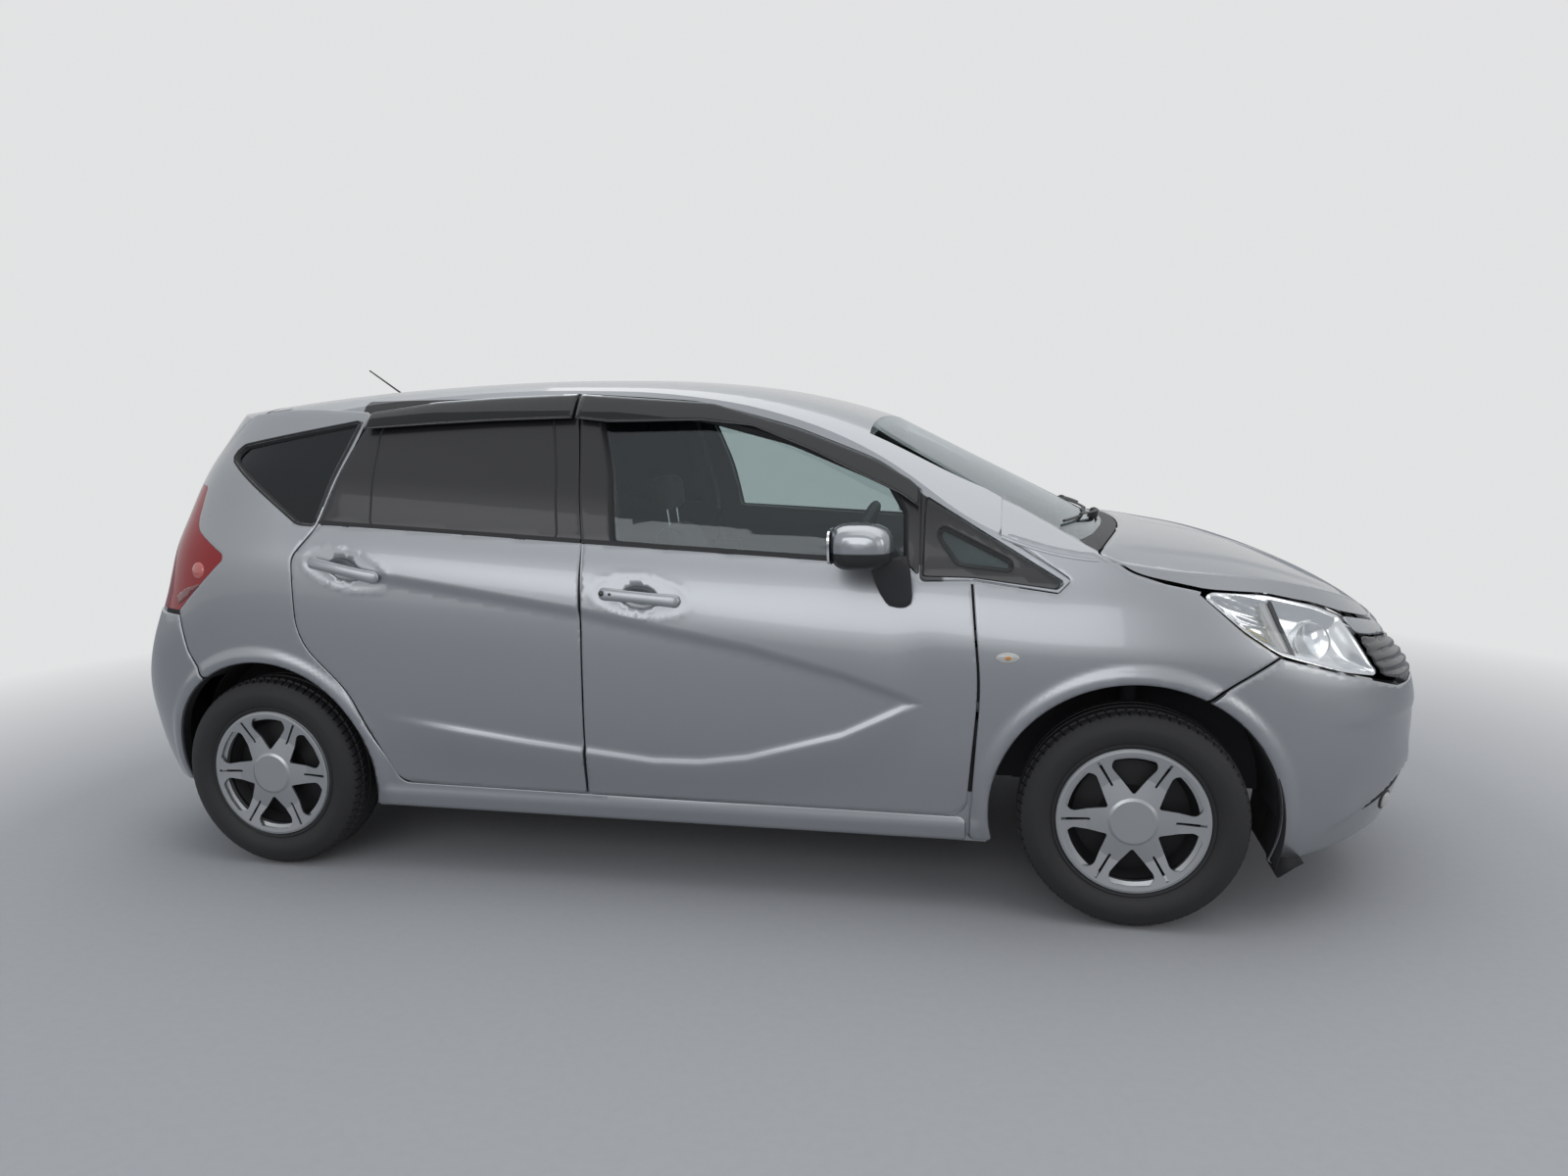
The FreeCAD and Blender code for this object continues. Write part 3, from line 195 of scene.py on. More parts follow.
def locate(points, axes, columns):
    """Column and row of the surface points with given coordinates on two axes, by Newton's method."""
    lo, hi = int(columns[0] * (TABLE_U - 1)), int(columns[1] * (TABLE_U - 1))
    coarse = SIDE[::8, lo:hi:8]
    flat = coarse.reshape(-1, 3)[:, axes]
    near = ((points[:, None, :] - flat[None]) ** 2).sum(2).argmin(1)
    v = (near // coarse.shape[1]) * 8.0
    u = (near % coarse.shape[1]) * 8.0 + lo
    for _ in range(14):
        error = points - sample(SIDE, u, v)[:, axes]
        pu, pv = sample(DU, u, v)[:, axes], sample(DV, u, v)[:, axes]
        det = pu[:, 0] * pv[:, 1] - pu[:, 1] * pv[:, 0]
        det = np.where(np.abs(det) < 1e-12, 1e-12, det)
        step_u = (error[:, 0] * pv[:, 1] - error[:, 1] * pv[:, 0]) / det
        step_v = (error[:, 1] * pu[:, 0] - error[:, 0] * pu[:, 1]) / det
        u = np.clip(u + np.clip(step_u, -12, 12), 0, LAST_U)
        v = np.clip(v + np.clip(step_v, -12, 12), 0, LAST_V)
    return u, v


VIEWS = {"side": ((0, 2), (0.03, 0.97)), "nose": ((1, 2), (0.0, 0.26)), "tail": ((1, 2), (0.78, 1.0))}


def unrolled(points, view):
    """Outline points seen from the side, nose or tail, as distance along the body's plan and height."""
    axes, columns = VIEWS[view]
    points = np.asarray(points, float)
    u, v = locate(points, axes, columns)
    return np.column_stack([u / (TABLE_U - 1) * SIDE_LENGTH, sample(SIDE, u, v)[:, 2]])


def rolled(flat):
    """Surface points and outward normals for unrolled points, the row found by repeated correction."""
    u = flat[:, 0] / SIDE_LENGTH * (TABLE_U - 1)
    v = np.interp(flat[:, 1], SIDE[:, TABLE_U // 2, 2], np.arange(TABLE_V))
    for _ in range(12):
        error = flat[:, 1] - sample(SIDE, u, v)[:, 2]
        v = np.clip(v + error / sample(DV, u, v)[:, 2], 0, LAST_V)
    return sample(SIDE, u, v), unit(sample(NORMAL, u, v))


# Outlines

def rounded(corners, spacing=RIM_SPACING):
    """Dense closed outline through corners (a, b[, radius]), each rounded by an arc if it has a radius."""
    count = len(corners)
    points = []
    for i, corner in enumerate(corners):
        at = np.array(corner[:2], float)
        to_last = np.array(corners[i - 1][:2], float) - at
        to_next = np.array(corners[(i + 1) % count][:2], float) - at
        radius = corner[2] if len(corner) > 2 else 0.0
        lengths = np.linalg.norm(to_last), np.linalg.norm(to_next)
        u, w = to_last / lengths[0], to_next / lengths[1]
        turn = math.pi - math.acos(float(np.clip(u @ w, -1, 1)))
        if radius <= 0 or turn < 0.01:
            points.append(at)
            continue
        reach = min(radius * math.tan(turn / 2), 0.48 * min(lengths))
        radius = reach / math.tan(turn / 2)
        middle = (u + w) / np.linalg.norm(u + w)
        centre = at + middle * radius / math.cos(turn / 2)
        steps = max(3, int(radius * turn / spacing) + 2)
        start, end = at + u * reach - centre, at + w * reach - centre
        share = np.linspace(0, 1, steps)[:, None]
        arc = start * np.sin((1 - share) * turn) + end * np.sin(share * turn)
        points.extend(centre + arc / math.sin(turn))
    return dense(np.array(points), spacing)


def dense(points, spacing=RIM_SPACING, closed=True):
    """Outline with extra points on its long runs."""
    result = []
    ends = np.roll(points, -1, axis=0) if closed else points[1:]
    for a, b in zip(points, ends):
        n = max(1, int(math.ceil(np.linalg.norm(b - a) / spacing)))
        result.append(a + (b - a) * (np.arange(n) / n)[:, None])
    if not closed:
        result.append(points[-1:])
    result = np.concatenate(result)
    keep = np.linalg.norm(result - np.roll(result, 1, axis=0), axis=1) > 1e-5
    return result[keep]


def grown(corners, by):
    """Corners of an outline moved out by a distance, or in where it is negative; radii are kept."""
    pts = np.array([c[:2] for c in corners], float)
    last = np.roll(pts, 1, axis=0)
    area = (last[:, 0] * pts[:, 1] - pts[:, 0] * last[:, 1]).sum()
    run = pts - last
    normal = np.column_stack([run[:, 1], -run[:, 0]]) / np.linalg.norm(run, axis=1)[:, None]
    normal *= 1 if area > 0 else -1
    offset = (normal * (pts + normal * by)).sum(1)
    result = []
    for i, corner in enumerate(corners):
        j = (i + 1) % len(corners)
        matrix = np.array([normal[i], normal[j]])
        if abs(np.linalg.det(matrix)) < 1e-4:
            point = pts[i] + normal[i] * by
        else:
            point = np.linalg.solve(matrix, [offset[i], offset[j]])
        result.append((float(point[0]), float(point[1])) + tuple(corner[2:]))
    return result


def inside(points, loop):
    """Which points lie inside a closed loop, by counting crossings."""
    x, y = points[:, 0][:, None], points[:, 1][:, None]
    a, b = loop, np.roll(loop, -1, axis=0)
    crosses = (a[:, 1] > y) != (b[:, 1] > y)
    slope = np.where(b[:, 1] == a[:, 1], 1e-12, b[:, 1] - a[:, 1])
    return (crosses & (x < a[:, 0] + (y - a[:, 1]) * (b[:, 0] - a[:, 0]) / slope)).sum(1) % 2 == 1


def loop_distance(points, loop):
    """Distance from each point to the nearest run of a closed loop."""
    a = loop[None]
    run = np.roll(loop, -1, axis=0)[None] - a
    to = points[:, None] - a
    share = np.clip((to * run).sum(2) / np.maximum((run ** 2).sum(2), 1e-12), 0, 1)
    return np.linalg.norm(to - share[..., None] * run, axis=2).min(1)


def rim_distance(points, loops):
    """Distance from each point to the nearest of several loops."""
    return np.min([loop_distance(points, loop) for loop in loops], axis=0)


def between_loops(points, outer, holes):
    """Which points lie inside the outer loop and outside every hole."""
    keep = inside(points, outer)
    for hole in holes:
        keep &= ~inside(points, hole)
    return keep


CHUNK = 2000


def filled(outer, holes, step, creases=None):
    """Vertices, triangles and rim distances of a flat region with holes: an even lattice and fine rims."""
    loops = [outer] + holes
    low, high = outer.min(0), outer.max(0)
    xs, ys = np.arange(low[0], high[0], step), np.arange(low[1], high[1], step * 0.87)
    gx, gy = np.meshgrid(xs, ys)
    gx = gx + (np.arange(len(ys)) % 2)[:, None] * step / 2
    points = np.column_stack([gx.ravel(), gy.ravel()])
    rims = []
    for loop in loops:
        for depth in (0.25, 0.6, 1.0):
            for sign in (-1, 1):
                rims.append(loop + unit(left_of(loop_runs(loop))) * sign * depth * HEM_RADIUS)
    rims = np.concatenate(rims)
    points = points[rim_distance(points, loops) > 0.45 * step]
    rims = rims[rim_distance(rims, loops) > 0.2 * HEM_RADIUS]
    if creases is not None:
        creases = creases[rim_distance(creases, loops) > 0.006]
        keep = np.ones(len(points), bool)
        for start in range(0, len(points), CHUNK):
            part = points[start:start + CHUNK, None] - creases[None]
            keep[start:start + CHUNK] = (part ** 2).sum(2).min(1) > (0.6 * step) ** 2
        points = np.concatenate([points[keep], creases])
    extra = np.concatenate([points, rims])
    verts = np.concatenate(loops + [extra[between_loops(extra, outer, holes)]])
    edges = []
    start = 0
    for loop in loops:
        n = len(loop)
        edges += [(start + i, start + (i + 1) % n) for i in range(n)]
        start += n
    out = delaunay_2d_cdt([Vector(p) for p in verts], edges, [], 0, 1e-7)
    verts = np.array([tuple(p) for p in out[0]])
    faces = np.array([tuple(f) for f in out[2] if len(f) == 3])
    faces = faces[between_loops(verts[faces].mean(1), outer, holes)]
    a, b, c = (verts[faces[:, i]] for i in range(3))
    turn = (b[:, 0] - a[:, 0]) * (c[:, 1] - a[:, 1]) - (b[:, 1] - a[:, 1]) * (c[:, 0] - a[:, 0])
    return verts, faces[np.abs(turn) > 1e-12], rim_distance(verts, loops)


# Meshes

def make_object(name, verts, faces, material, body, slot, sharp=None):
    """Mesh object at the origin, riding on a body, with the given finish; the slot is not used."""
    mesh = bpy.data.meshes.new(name)
    mesh.from_pydata(np.asarray(verts, float).tolist(), [], [list(map(int, f)) for f in faces])
    mesh.validate()
    mesh.update()
    obj = bpy.data.objects.new(name, mesh)
    bpy.context.scene.collection.objects.link(obj)
    mesh.materials.append(material)
    mesh.shade_smooth()
    if sharp:
        mesh.set_sharp_from_angle(angle=math.radians(sharp))
    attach(obj, body)
    return obj


def mirrored(verts, faces):
    """The same mesh on the other side of the car, its faces turned to look outwards again."""
    return np.asarray(verts) * np.array([1.0, -1.0, 1.0]), [tuple(f)[::-1] for f in faces]


def on_both_sides(name, verts, faces, material, body, slot, **options):
    """A right-hand mesh and its mirror image; a body name with a % rides on the body of its own side."""
    made = []
    for side in ("right", "left"):
        v, f = (verts, faces) if side == "right" else mirrored(verts, faces)
        made.append(make_object(f"{name}_{side}", v, f, material, body.replace("%", side), slot, **options))
    return made


def joined(parts):
    """One list of vertices and faces from several."""
    verts, faces, start = [], [], 0
    for v, f in parts:
        verts.append(np.asarray(v, float))
        faces += [tuple(int(i) + start for i in face) for face in f]
        start += len(v)
    return np.concatenate(verts), faces


def grid_faces(rows, columns, wrap_rows=False, wrap_columns=False):
    """Quads of a grid of points listed row by row, closed round either way if asked."""
    i = np.arange(rows if wrap_rows else rows - 1)[:, None]
    j = np.arange(columns if wrap_columns else columns - 1)[None]
    i2, j2 = (i + 1) % rows, (j + 1) % columns
    quads = np.stack([i * columns + j, i2 * columns + j, i2 * columns + j2, i * columns + j2], -1)
    return [tuple(quad) for quad in quads.reshape(-1, 4).tolist()]


def tube_faces(rings, sides):
    """Faces of a tube whose points are listed ring by ring, with both ends closed."""
    ends = [tuple(range(sides)), tuple(range((rings - 1) * sides, rings * sides))[::-1]]
    return grid_faces(rings, sides, wrap_columns=True) + ends


def sheet_faces(rows, columns):
    """Faces of a closed sheet: a grid, the same grid again as its back, and a strip round the rim."""
    n = rows * columns
    grid = np.arange(n).reshape(rows, columns)
    rim = np.concatenate([grid[0], grid[1:, -1], grid[-1, -2::-1], grid[-2:0:-1, 0]]).tolist()
    faces = grid_faces(rows, columns)
    faces += [tuple(i + n for i in face)[::-1] for face in faces]
    return faces + [(rim[i], rim[i - 1], rim[i - 1] + n, rim[i] + n) for i in range(len(rim))]


def swept(path, radii, sides=16, flat=1.0, up=(0.0, 0.0, 1.0)):
    """Tube along a path, r(t) at each point, squeezed by flat along the second axis, with closed ends."""
    path = np.asarray(path, float)
    radii = np.broadcast_to(np.asarray(radii, float), (len(path),))
    along = unit(np.gradient(path, axis=0))
    across = unit(np.cross(along, np.asarray(up, float)))
    over = np.cross(across, along)
    angle = turns(sides)[None, :, None]
    ring = across[:, None] * np.cos(angle) + over[:, None] * np.sin(angle) * flat
    return (path[:, None] + ring * radii[:, None, None]).reshape(-1, 3), tube_faces(len(path), sides)


def opened(verts, faces):
    """Mesh open for changes; a face that is there already isn't made again."""
    mesh = bmesh.new()
    made = [mesh.verts.new(v) for v in verts]
    for face in faces:
        try:
            mesh.faces.new([made[int(i)] for i in face])
        except ValueError:
            continue
    return mesh


def closed(mesh):
    """Vertices and faces of an open mesh, which is let go."""
    mesh.verts.index_update()
    lists = np.array([v.co for v in mesh.verts]), [tuple(v.index for v in f.verts) for f in mesh.faces]
    mesh.free()
    return lists


def outward(verts, faces):
    """Faces turned to look outwards, by a closed mesh's volume."""
    mesh = opened(verts, faces)
    bmesh.ops.recalc_face_normals(mesh, faces=mesh.faces)
    return closed(mesh)[1]


# Panels

SCOOP_TOP = np.array([
    (-1.30, 1.012), (-1.165, 0.992), (-0.942, 0.944), (-0.669, 0.905), (-0.321, 0.853), (0.173, 0.762),
    (0.436, 0.695), (0.606, 0.640), (0.680, 0.612),
])
SCOOP_FOOT = np.array([
    (-1.10, 0.520), (-0.880, 0.493), (-0.503, 0.444), (-0.328, 0.426), (-0.118, 0.404), (0.023, 0.407),
    (0.162, 0.428), (0.433, 0.507), (0.600, 0.590), (0.680, 0.612),
])
SCOOP_DEPTH, LIP_HEIGHT, SILL_LEDGE = 0.0095, 0.0095, 0.007


def line_height(line, x):
    """Height of a polyline given from rear to front."""
    return np.interp(x, line[:, 0], line[:, 1])


def scoop_relief(x, z):
    """Relief of the doors' wedge-shaped scoop: raised banks above its top line and below its foot line."""
    over = z - line_height(SCOOP_TOP, x)
    under = line_height(SCOOP_FOOT, x) - z
    top = smooth_step(over, -0.030, 0.004) * np.exp(-(np.maximum(over, 0) / 0.150) ** 2)
    foot = smooth_step(under, -0.022, 0.004) * np.exp(-(np.maximum(under, 0) / 0.100) ** 2)
    return SCOOP_DEPTH * np.maximum(top * hump(x, -1.30, -0.95, 0.56, 0.70),
                                    foot * hump(x, -1.02, -0.70, 0.56, 0.70))


def arch_relief(x, z):
    """Relief of the two wheel arches' flared lips: a rounded rib that falls away from the arch's edge."""
    relief = np.zeros_like(x)
    for axle_x, radius in ((FRONT_AXLE_X, FRONT_ARCH_RADIUS), (REAR_AXLE_X, REAR_ARCH_RADIUS)):
        rib = hump(np.hypot(x - axle_x, z - AXLE_Z) - radius, -0.002, 0.006, 0.022, 0.052)
        relief = np.maximum(relief, LIP_HEIGHT * rib * smooth_step(z, 0.20, 0.32))
    return relief


def sill_relief(x, z):
    """Relief of the sill: a ledge under the doors."""
    return SILL_LEDGE * (1 - smooth_step(z, 0.262, 0.286)) * hump(x, -1.03, -0.98, 0.78, 0.84)


HANDLES = {"front": ((-0.262, 0.897), (-0.020, 0.877), (-0.140, 0.888)),
           "rear": ((-1.186, 0.978), (-0.949, 0.930), (-1.068, 0.957))}
BOWL_SIZE, DISH_SIZE = (0.052, 0.031), (0.142, 0.056)
BOWL_SHARES = (0.15, 0.35, 0.55, 0.72, 0.84, 0.92, 0.97, 1.01)
DISH_SHARES = (0.86, 0.95, 1.05)
BOWL_DEPTH, DISH_DEPTH, DISH_RIM = 0.017, 0.0012, 0.0010


def handle_lean(handle):
    """Slope of a handle from its rear end to its front end."""
    rear, front, _ = handle
    return (front[1] - rear[1]) / (front[0] - rear[0])


def in_oval(x, z, handle, size):
    """Distance from a handle's middle as a share of an oval that leans with the handle."""
    cx, cz = handle[2]
    return np.hypot((x - cx) / size[0], (z - cz - handle_lean(handle) * (x - cx)) / size[1])


def handle_relief(x, z):
    """Hand bowl, -depth * (1 - r^2)^0.6 in its oval, and the shallow dish round it."""
    relief = np.zeros_like(x)
    for handle in HANDLES.values():
        bowl, dish = in_oval(x, z, handle, BOWL_SIZE), in_oval(x, z, handle, DISH_SIZE)
        relief -= BOWL_DEPTH * np.maximum(0, 1 - bowl ** 2) ** 0.6
        relief -= DISH_DEPTH * (1 - smooth_step(dish, 0.86, 1.0))
        relief += DISH_RIM * np.exp(-((dish - 1.05) / 0.06) ** 2)
    return relief


def body_relief(points):
    """All relief of the painted side."""
    x, z = points[:, 0], points[:, 2]
    return scoop_relief(x, z) + arch_relief(x, z) + sill_relief(x, z) + handle_relief(x, z)


FOG_BROW = np.array([(1.700, 0.246), (1.742, 0.268), (1.905, 0.372), (1.965, 0.408)])
BROW_HEIGHT, NOSE_CREASE = 0.013, 0.0050


def bumper_relief(points):
    """Front bumper: a soft crease across the nose, and a brow that overhangs each fog lamp."""
    x, z = points[:, 0], points[:, 2]
    over = z - line_height(FOG_BROW, x)
    brow = smooth_step(over, -0.003, 0.005) * np.exp(-(np.maximum(over, 0) / 0.060) ** 2)
    brow = brow * hump(x, 1.700, 1.800, 1.960, 2.000)
    crease = smooth_step(z, 0.548, 0.566) * (1 - 0.6 * smooth_step(z, 0.566, 0.640))
    return body_relief(points) + BROW_HEIGHT * brow + NOSE_CREASE * crease * smooth_step(x, 1.68, 1.86)


def crease_points():
    """Unrolled lattice points that follow the creases, so that they stay sharp."""
    result = []
    for line, shift in ((SCOOP_TOP, 1), (SCOOP_FOOT, -1)):
        x = np.arange(-1.2, 0.66, 0.009)
        for off in (-0.030, -0.020, -0.012, -0.004, 0.003, 0.009):
            result.append(np.column_stack([x, line_height(line, x) + off * shift]))
    angle = turns(44)
    for handle in HANDLES.values():
        cx, cz = handle[2]
        for size, shares in ((BOWL_SIZE, BOWL_SHARES), (DISH_SIZE, DISH_SHARES)):
            for share in shares:
                dx = size[0] * share * np.cos(angle)
                dz = handle_lean(handle) * dx + size[1] * share * np.sin(angle)
                result.append(np.column_stack([cx + dx, cz + dz]))
    return unrolled(np.concatenate(result), "side")


def arch_loop(cx, radius):
    """Unrolled circle of a wheel arch."""
    angle = turns(160)
    points = np.column_stack([cx + radius * np.cos(angle), AXLE_Z + radius * np.sin(angle)])
    points[:, 1] = np.maximum(points[:, 1], 0.142)
    return unrolled(points, "side")


def hem(edge, pull=0.0):
    """Fall of a skin near its edge, at d < r from it: r - sqrt(r^2 - (r - d)^2) + pull * (1 - d / r)^2."""
    near = np.clip(HEM_RADIUS - edge, 0, HEM_RADIUS)
    return HEM_RADIUS - np.sqrt(HEM_RADIUS ** 2 - near ** 2) + pull * (near / HEM_RADIUS) ** 2


def faced(points, faces, normals):
    """Triangles turned to look the way of their first vertex's normal."""
    a, b, c = (points[faces[:, i]] for i in range(3))
    turn = (np.cross(b - a, c - a) * normals[faces[:, 0]]).sum(1)
    return [tuple(f) if t > 0 else tuple(f[::-1]) for f, t in zip(faces, turn)]


def side_panel(outline, holes=(), lift=SKIN_LIFT, inset=PANEL_INSET, relief=body_relief, creases=False,
               step=PANEL_STEP, hole_margin=0.0):
    """Skin over one panel of the side.

    The outline is unrolled onto (distance along the plan, height), filled with triangles and rolled back,
    then moved out along the normal by lift + relief. Its edge falls by the hem's quarter circle, so that it
    closes on the solid panel. A hole of two numbers is a wheel arch.
    """
    outer = unrolled(rounded(grown(outline, -inset)), "side")
    inner = [arch_loop(*hole) if len(hole) == 2 else unrolled(rounded(grown(hole, hole_margin)), "side")
             for hole in holes]
    verts, faces, edge = filled_panel(outer, inner, step, crease_points() if creases else None)
    points, normals = rolled(verts)
    height = lift + (relief(points) if relief else 0)
    share = np.clip(edge / HEM_RADIUS, 0, 1)
    points = points + normals * (height - hem(edge) - (height - lift) * (1 - share) * 0.5)[:, None]
    return points, faced(points, faces, normals)


def filled_panel(outer, holes, step, creases):
    """filled(), with the holes that cross the outer loop cut out of it first."""
    within = [hole for hole in holes if inside(hole, outer).all()]
    for hole in [hole for hole in holes if inside(hole, outer).any() and not inside(hole, outer).all()]:
        outer = loop_minus(outer, hole)
    return filled(outer, within, step, creases)


def clockwise(loop):
    """Whether a loop runs clockwise, by the area under it."""
    after = np.roll(loop, -1, axis=0)
    return ((after - loop)[:, 0] * (after + loop)[:, 1]).sum() > 0


def kept_run(loop, keep):
    """The kept points of a loop as one run, from the first of them that follows a dropped one."""
    first = int(np.flatnonzero(keep & ~np.roll(keep, 1))[0])
    order = (first + np.arange(len(loop))) % len(loop)
    return loop[order][keep[order]]


def loop_minus(outer, hole):
    """Closed loop of outer without hole, where hole crosses it twice."""
    if clockwise(outer) == clockwise(hole):
        hole = hole[::-1]
    keep = ~inside(outer, hole)
    if keep.all():
        return outer
    kept, arc = kept_run(outer, keep), kept_run(hole, inside(hole, outer))
    if np.linalg.norm(arc[0] - kept[-1]) > np.linalg.norm(arc[-1] - kept[-1]):
        arc = arc[::-1]
    return dense(np.concatenate([kept, arc]))


def whole_width(verts, faces):
    """The right half of a mesh cut at y = 0, joined to its mirror image."""
    mesh = opened(verts, faces)
    bmesh.ops.bisect_plane(mesh, geom=mesh.verts[:] + mesh.edges[:] + mesh.faces[:], dist=1e-6,
                           plane_co=(0, 0, 0), plane_no=(0, 1, 0), clear_outer=True)
    half = closed(mesh)
    mesh = opened(*joined([half, mirrored(*half)]))
    bmesh.ops.remove_doubles(mesh, verts=mesh.verts[:], dist=1e-5)
    return closed(mesh)


def wrapped_outline(parts):
    """Corners given in several views, as one list of unrolled corners with their radii."""
    result = []
    for view, corners in parts:
        flat = unrolled([c[:2] for c in corners], view)
        result += [tuple(p) + tuple(c[2:]) for p, c in zip(flat, corners)]
    return result


def end_panel(parts, holes=(), lift=0.0038, inset=PANEL_INSET, relief=body_relief, arch=None,
              step=PANEL_STEP):
    """side_panel() for an outline that runs round the nose or tail, drawn on the unrolled plan."""
    outer = rounded(grown(wrapped_outline(parts), -inset))
    inner = [rounded(wrapped_outline(h)) for h in holes]
    if arch:
        inner.append(arch_loop(*arch))
    verts, faces, edge = filled_panel(outer, inner, step, None)
    points, normals = rolled(verts)
    points = points + normals * (lift + (relief(points) if relief else 0) - hem(edge, 0.0022))[:, None]
    return points, faced(points, faces, normals)


# Materials

BUMP_DEPTH = 0.0006


def feed(tree, entry, value):
    """Give an input socket a plain value or a link from an output."""
    value = getattr(value, "socket", value)
    if isinstance(value, bpy.types.NodeSocket):
        tree.links.new(value, entry)
    else:
        entry.default_value = value


def add_node(tree, kind, entries=(), **settings):
    """Shader node with its settings and, by socket name or number, the values or links of its inputs."""
    made = tree.nodes.new("ShaderNode" + kind)
    for key, value in settings.items():
        setattr(made, key, value)
    for key, value in dict(entries).items():
        feed(tree, made.inputs[key], value)
    return made


def mixed(tree, kind, share, low, high):
    """Blend of two numbers (FLOAT), colours (RGBA) or shaders (SHADER): low where share is 0, high at 1."""
    if kind == "SHADER":
        return add_node(tree, "MixShader", {0: share, 1: low, 2: high}).outputs[0]
    first, out = (6, 2) if kind == "RGBA" else (2, 0)
    return add_node(tree, "Mix", {0: share, first: low, first + 1: high}, data_type=kind).outputs[out]


class Value:
    """Number on a shader socket. Adding, subtracting or multiplying it makes a math node."""

    def __init__(self, tree, socket):
        self.tree, self.socket = tree, socket

    def calc(self, operation, *others):
        """Result of a math node on this value and others."""
        made = add_node(self.tree, "Math", enumerate((self,) + others), operation=operation)
        return Value(self.tree, made.outputs[0])

    def __add__(self, other):
        return self.calc("ADD", other)

    def __sub__(self, other):
        return self.calc("SUBTRACT", other)

    def __mul__(self, other):
        return self.calc("MULTIPLY", other)

    def rising(self, low, high):
        """0 below low and 1 above high."""
        made = add_node(self.tree, "MapRange", {"Value": self, "From Min": low, "From Max": high})
        return Value(self.tree, made.outputs[0])

    def falling(self, low, high):
        """1 below low and 0 above high."""
        return self.rising(low, high) * -1.0 + 1.0

    def between(self, low, high, edge=0.002):
        """1 from low to high, with narrow soft edges inside them."""
        return self.rising(low, low + edge) * self.falling(high - edge, high)


def most(first, *others):
    """Largest of several values."""
    for other in others:
        first = first.calc("MAXIMUM", other)
    return first


def new_material(name):
    """Empty node material and its tree."""
    material = bpy.data.materials.new(name)
    material.use_nodes = True
    material.node_tree.nodes.clear()
    return material, material.node_tree


def surfaced(material, surface):
    """The material with a shader as its surface."""
    add_node(material.node_tree, "OutputMaterial", {0: surface})
    return material


def grain_group():
    """Shared effect: fine and broad noise of the object's own place, as two values from 0 to 1."""
    group = bpy.data.node_groups.new("grain", "ShaderNodeTree")
    for name, way in (
            ("Fine Scale", "INPUT"), ("Broad Scale", "INPUT"), ("Fine", "OUTPUT"), ("Broad", "OUTPUT")):
        group.interface.new_socket(name, in_out=way, socket_type="NodeSocketFloat")
    entry, leave = group.nodes.new("NodeGroupInput"), group.nodes.new("NodeGroupOutput")
    place = add_node(group, "TexCoord").outputs["Object"]
    for out, detail in (("Fine", 3.0), ("Broad", 2.0)):
        noise = add_node(group, "TexNoise", {"Vector": place, "Scale": entry.outputs[out + " Scale"],
                                             "Detail": detail})
        group.links.new(noise.outputs["Fac"], leave.inputs[out])
    return group


GRAIN = grain_group()


def grain_values(tree, fine, broad):
    """Fine and broad grain at two scales."""
    grain = add_node(tree, "Group", {"Fine Scale": fine, "Broad Scale": broad}, node_tree=GRAIN)
    return Value(tree, grain.outputs["Fine"]), Value(tree, grain.outputs["Broad"])


def finish_material(name, color, roughness, metallic=0.0, fine=900.0, broad=6.0, bump=0.0, vary=0.05,
                    spread=0.04, **sockets):
    """Principled finish whose colour and roughness drift a little with the grain, with a fine bump."""
    material, tree = new_material(name)
    fine, broad = grain_values(tree, fine, broad)
    low = tuple(c * (1 - vary) for c in color) + (1.0,)
    high = tuple(min(1.0, c * (1 + vary)) for c in color) + (1.0,)
    rough = add_node(tree, "MapRange", {"Value": fine, "To Min": max(0.0, roughness - spread),
                                        "To Max": roughness + spread})
    entries = {"Base Color": mixed(tree, "RGBA", broad, low, high), "Roughness": rough.outputs[0],
               "Metallic": metallic}
    entries.update((key.replace("_", " "), value) for key, value in sockets.items())
    if bump:
        relief = add_node(tree, "Bump", {"Strength": bump, "Distance": BUMP_DEPTH, "Height": fine})
        entries["Normal"] = relief.outputs[0]
    return surfaced(material, add_node(tree, "BsdfPrincipled", entries).outputs[0])


def glass_material(name, color, pass_share, haze=(0.02, 0.025, 0.028)):
    """Thin tinted pane: part see-through with its tint, part dark body, and a clear reflection on top.

    The reflection's share is 0.04 + 0.90 * f^5, where f is 0 seen square on and 1 seen along the pane.
    """
    material, tree = new_material(name)
    through = add_node(tree, "BsdfTransparent", {"Color": color + (1.0,)}).outputs[0]
    body = add_node(tree, "BsdfDiffuse", {"Color": haze + (1.0,)}).outputs[0]
    gloss = add_node(tree, "BsdfGlossy", {"Color": (0.95, 0.98, 1.0, 1.0), "Roughness": 0.01}).outputs[0]
    slant = Value(tree, add_node(tree, "LayerWeight", {"Blend": 0.5}).outputs["Facing"])
    mirror = slant.calc("POWER", 5.0).calc("MULTIPLY_ADD", 0.90, 0.04)
    pane = mixed(tree, "SHADER", pass_share, body, through)
    return surfaced(material, mixed(tree, "SHADER", mirror, pane, gloss))


def split_material(name, low, high, height, edge=0.002):
    """One finish (color, roughness, metallic, coat) below a height and another above it."""
    material, tree = new_material(name)
    shaders = []
    for color, roughness, metallic, coat in (low, high):
        shaders.append(add_node(tree, "BsdfPrincipled", {
            "Base Color": color + (1.0,), "Roughness": roughness, "Metallic": metallic,
            "Coat Weight": coat}).outputs[0])
    above = place_and_facing(tree).z.rising(height - edge, height + edge)
    return surfaced(material, mixed(tree, "SHADER", above, *shaders))


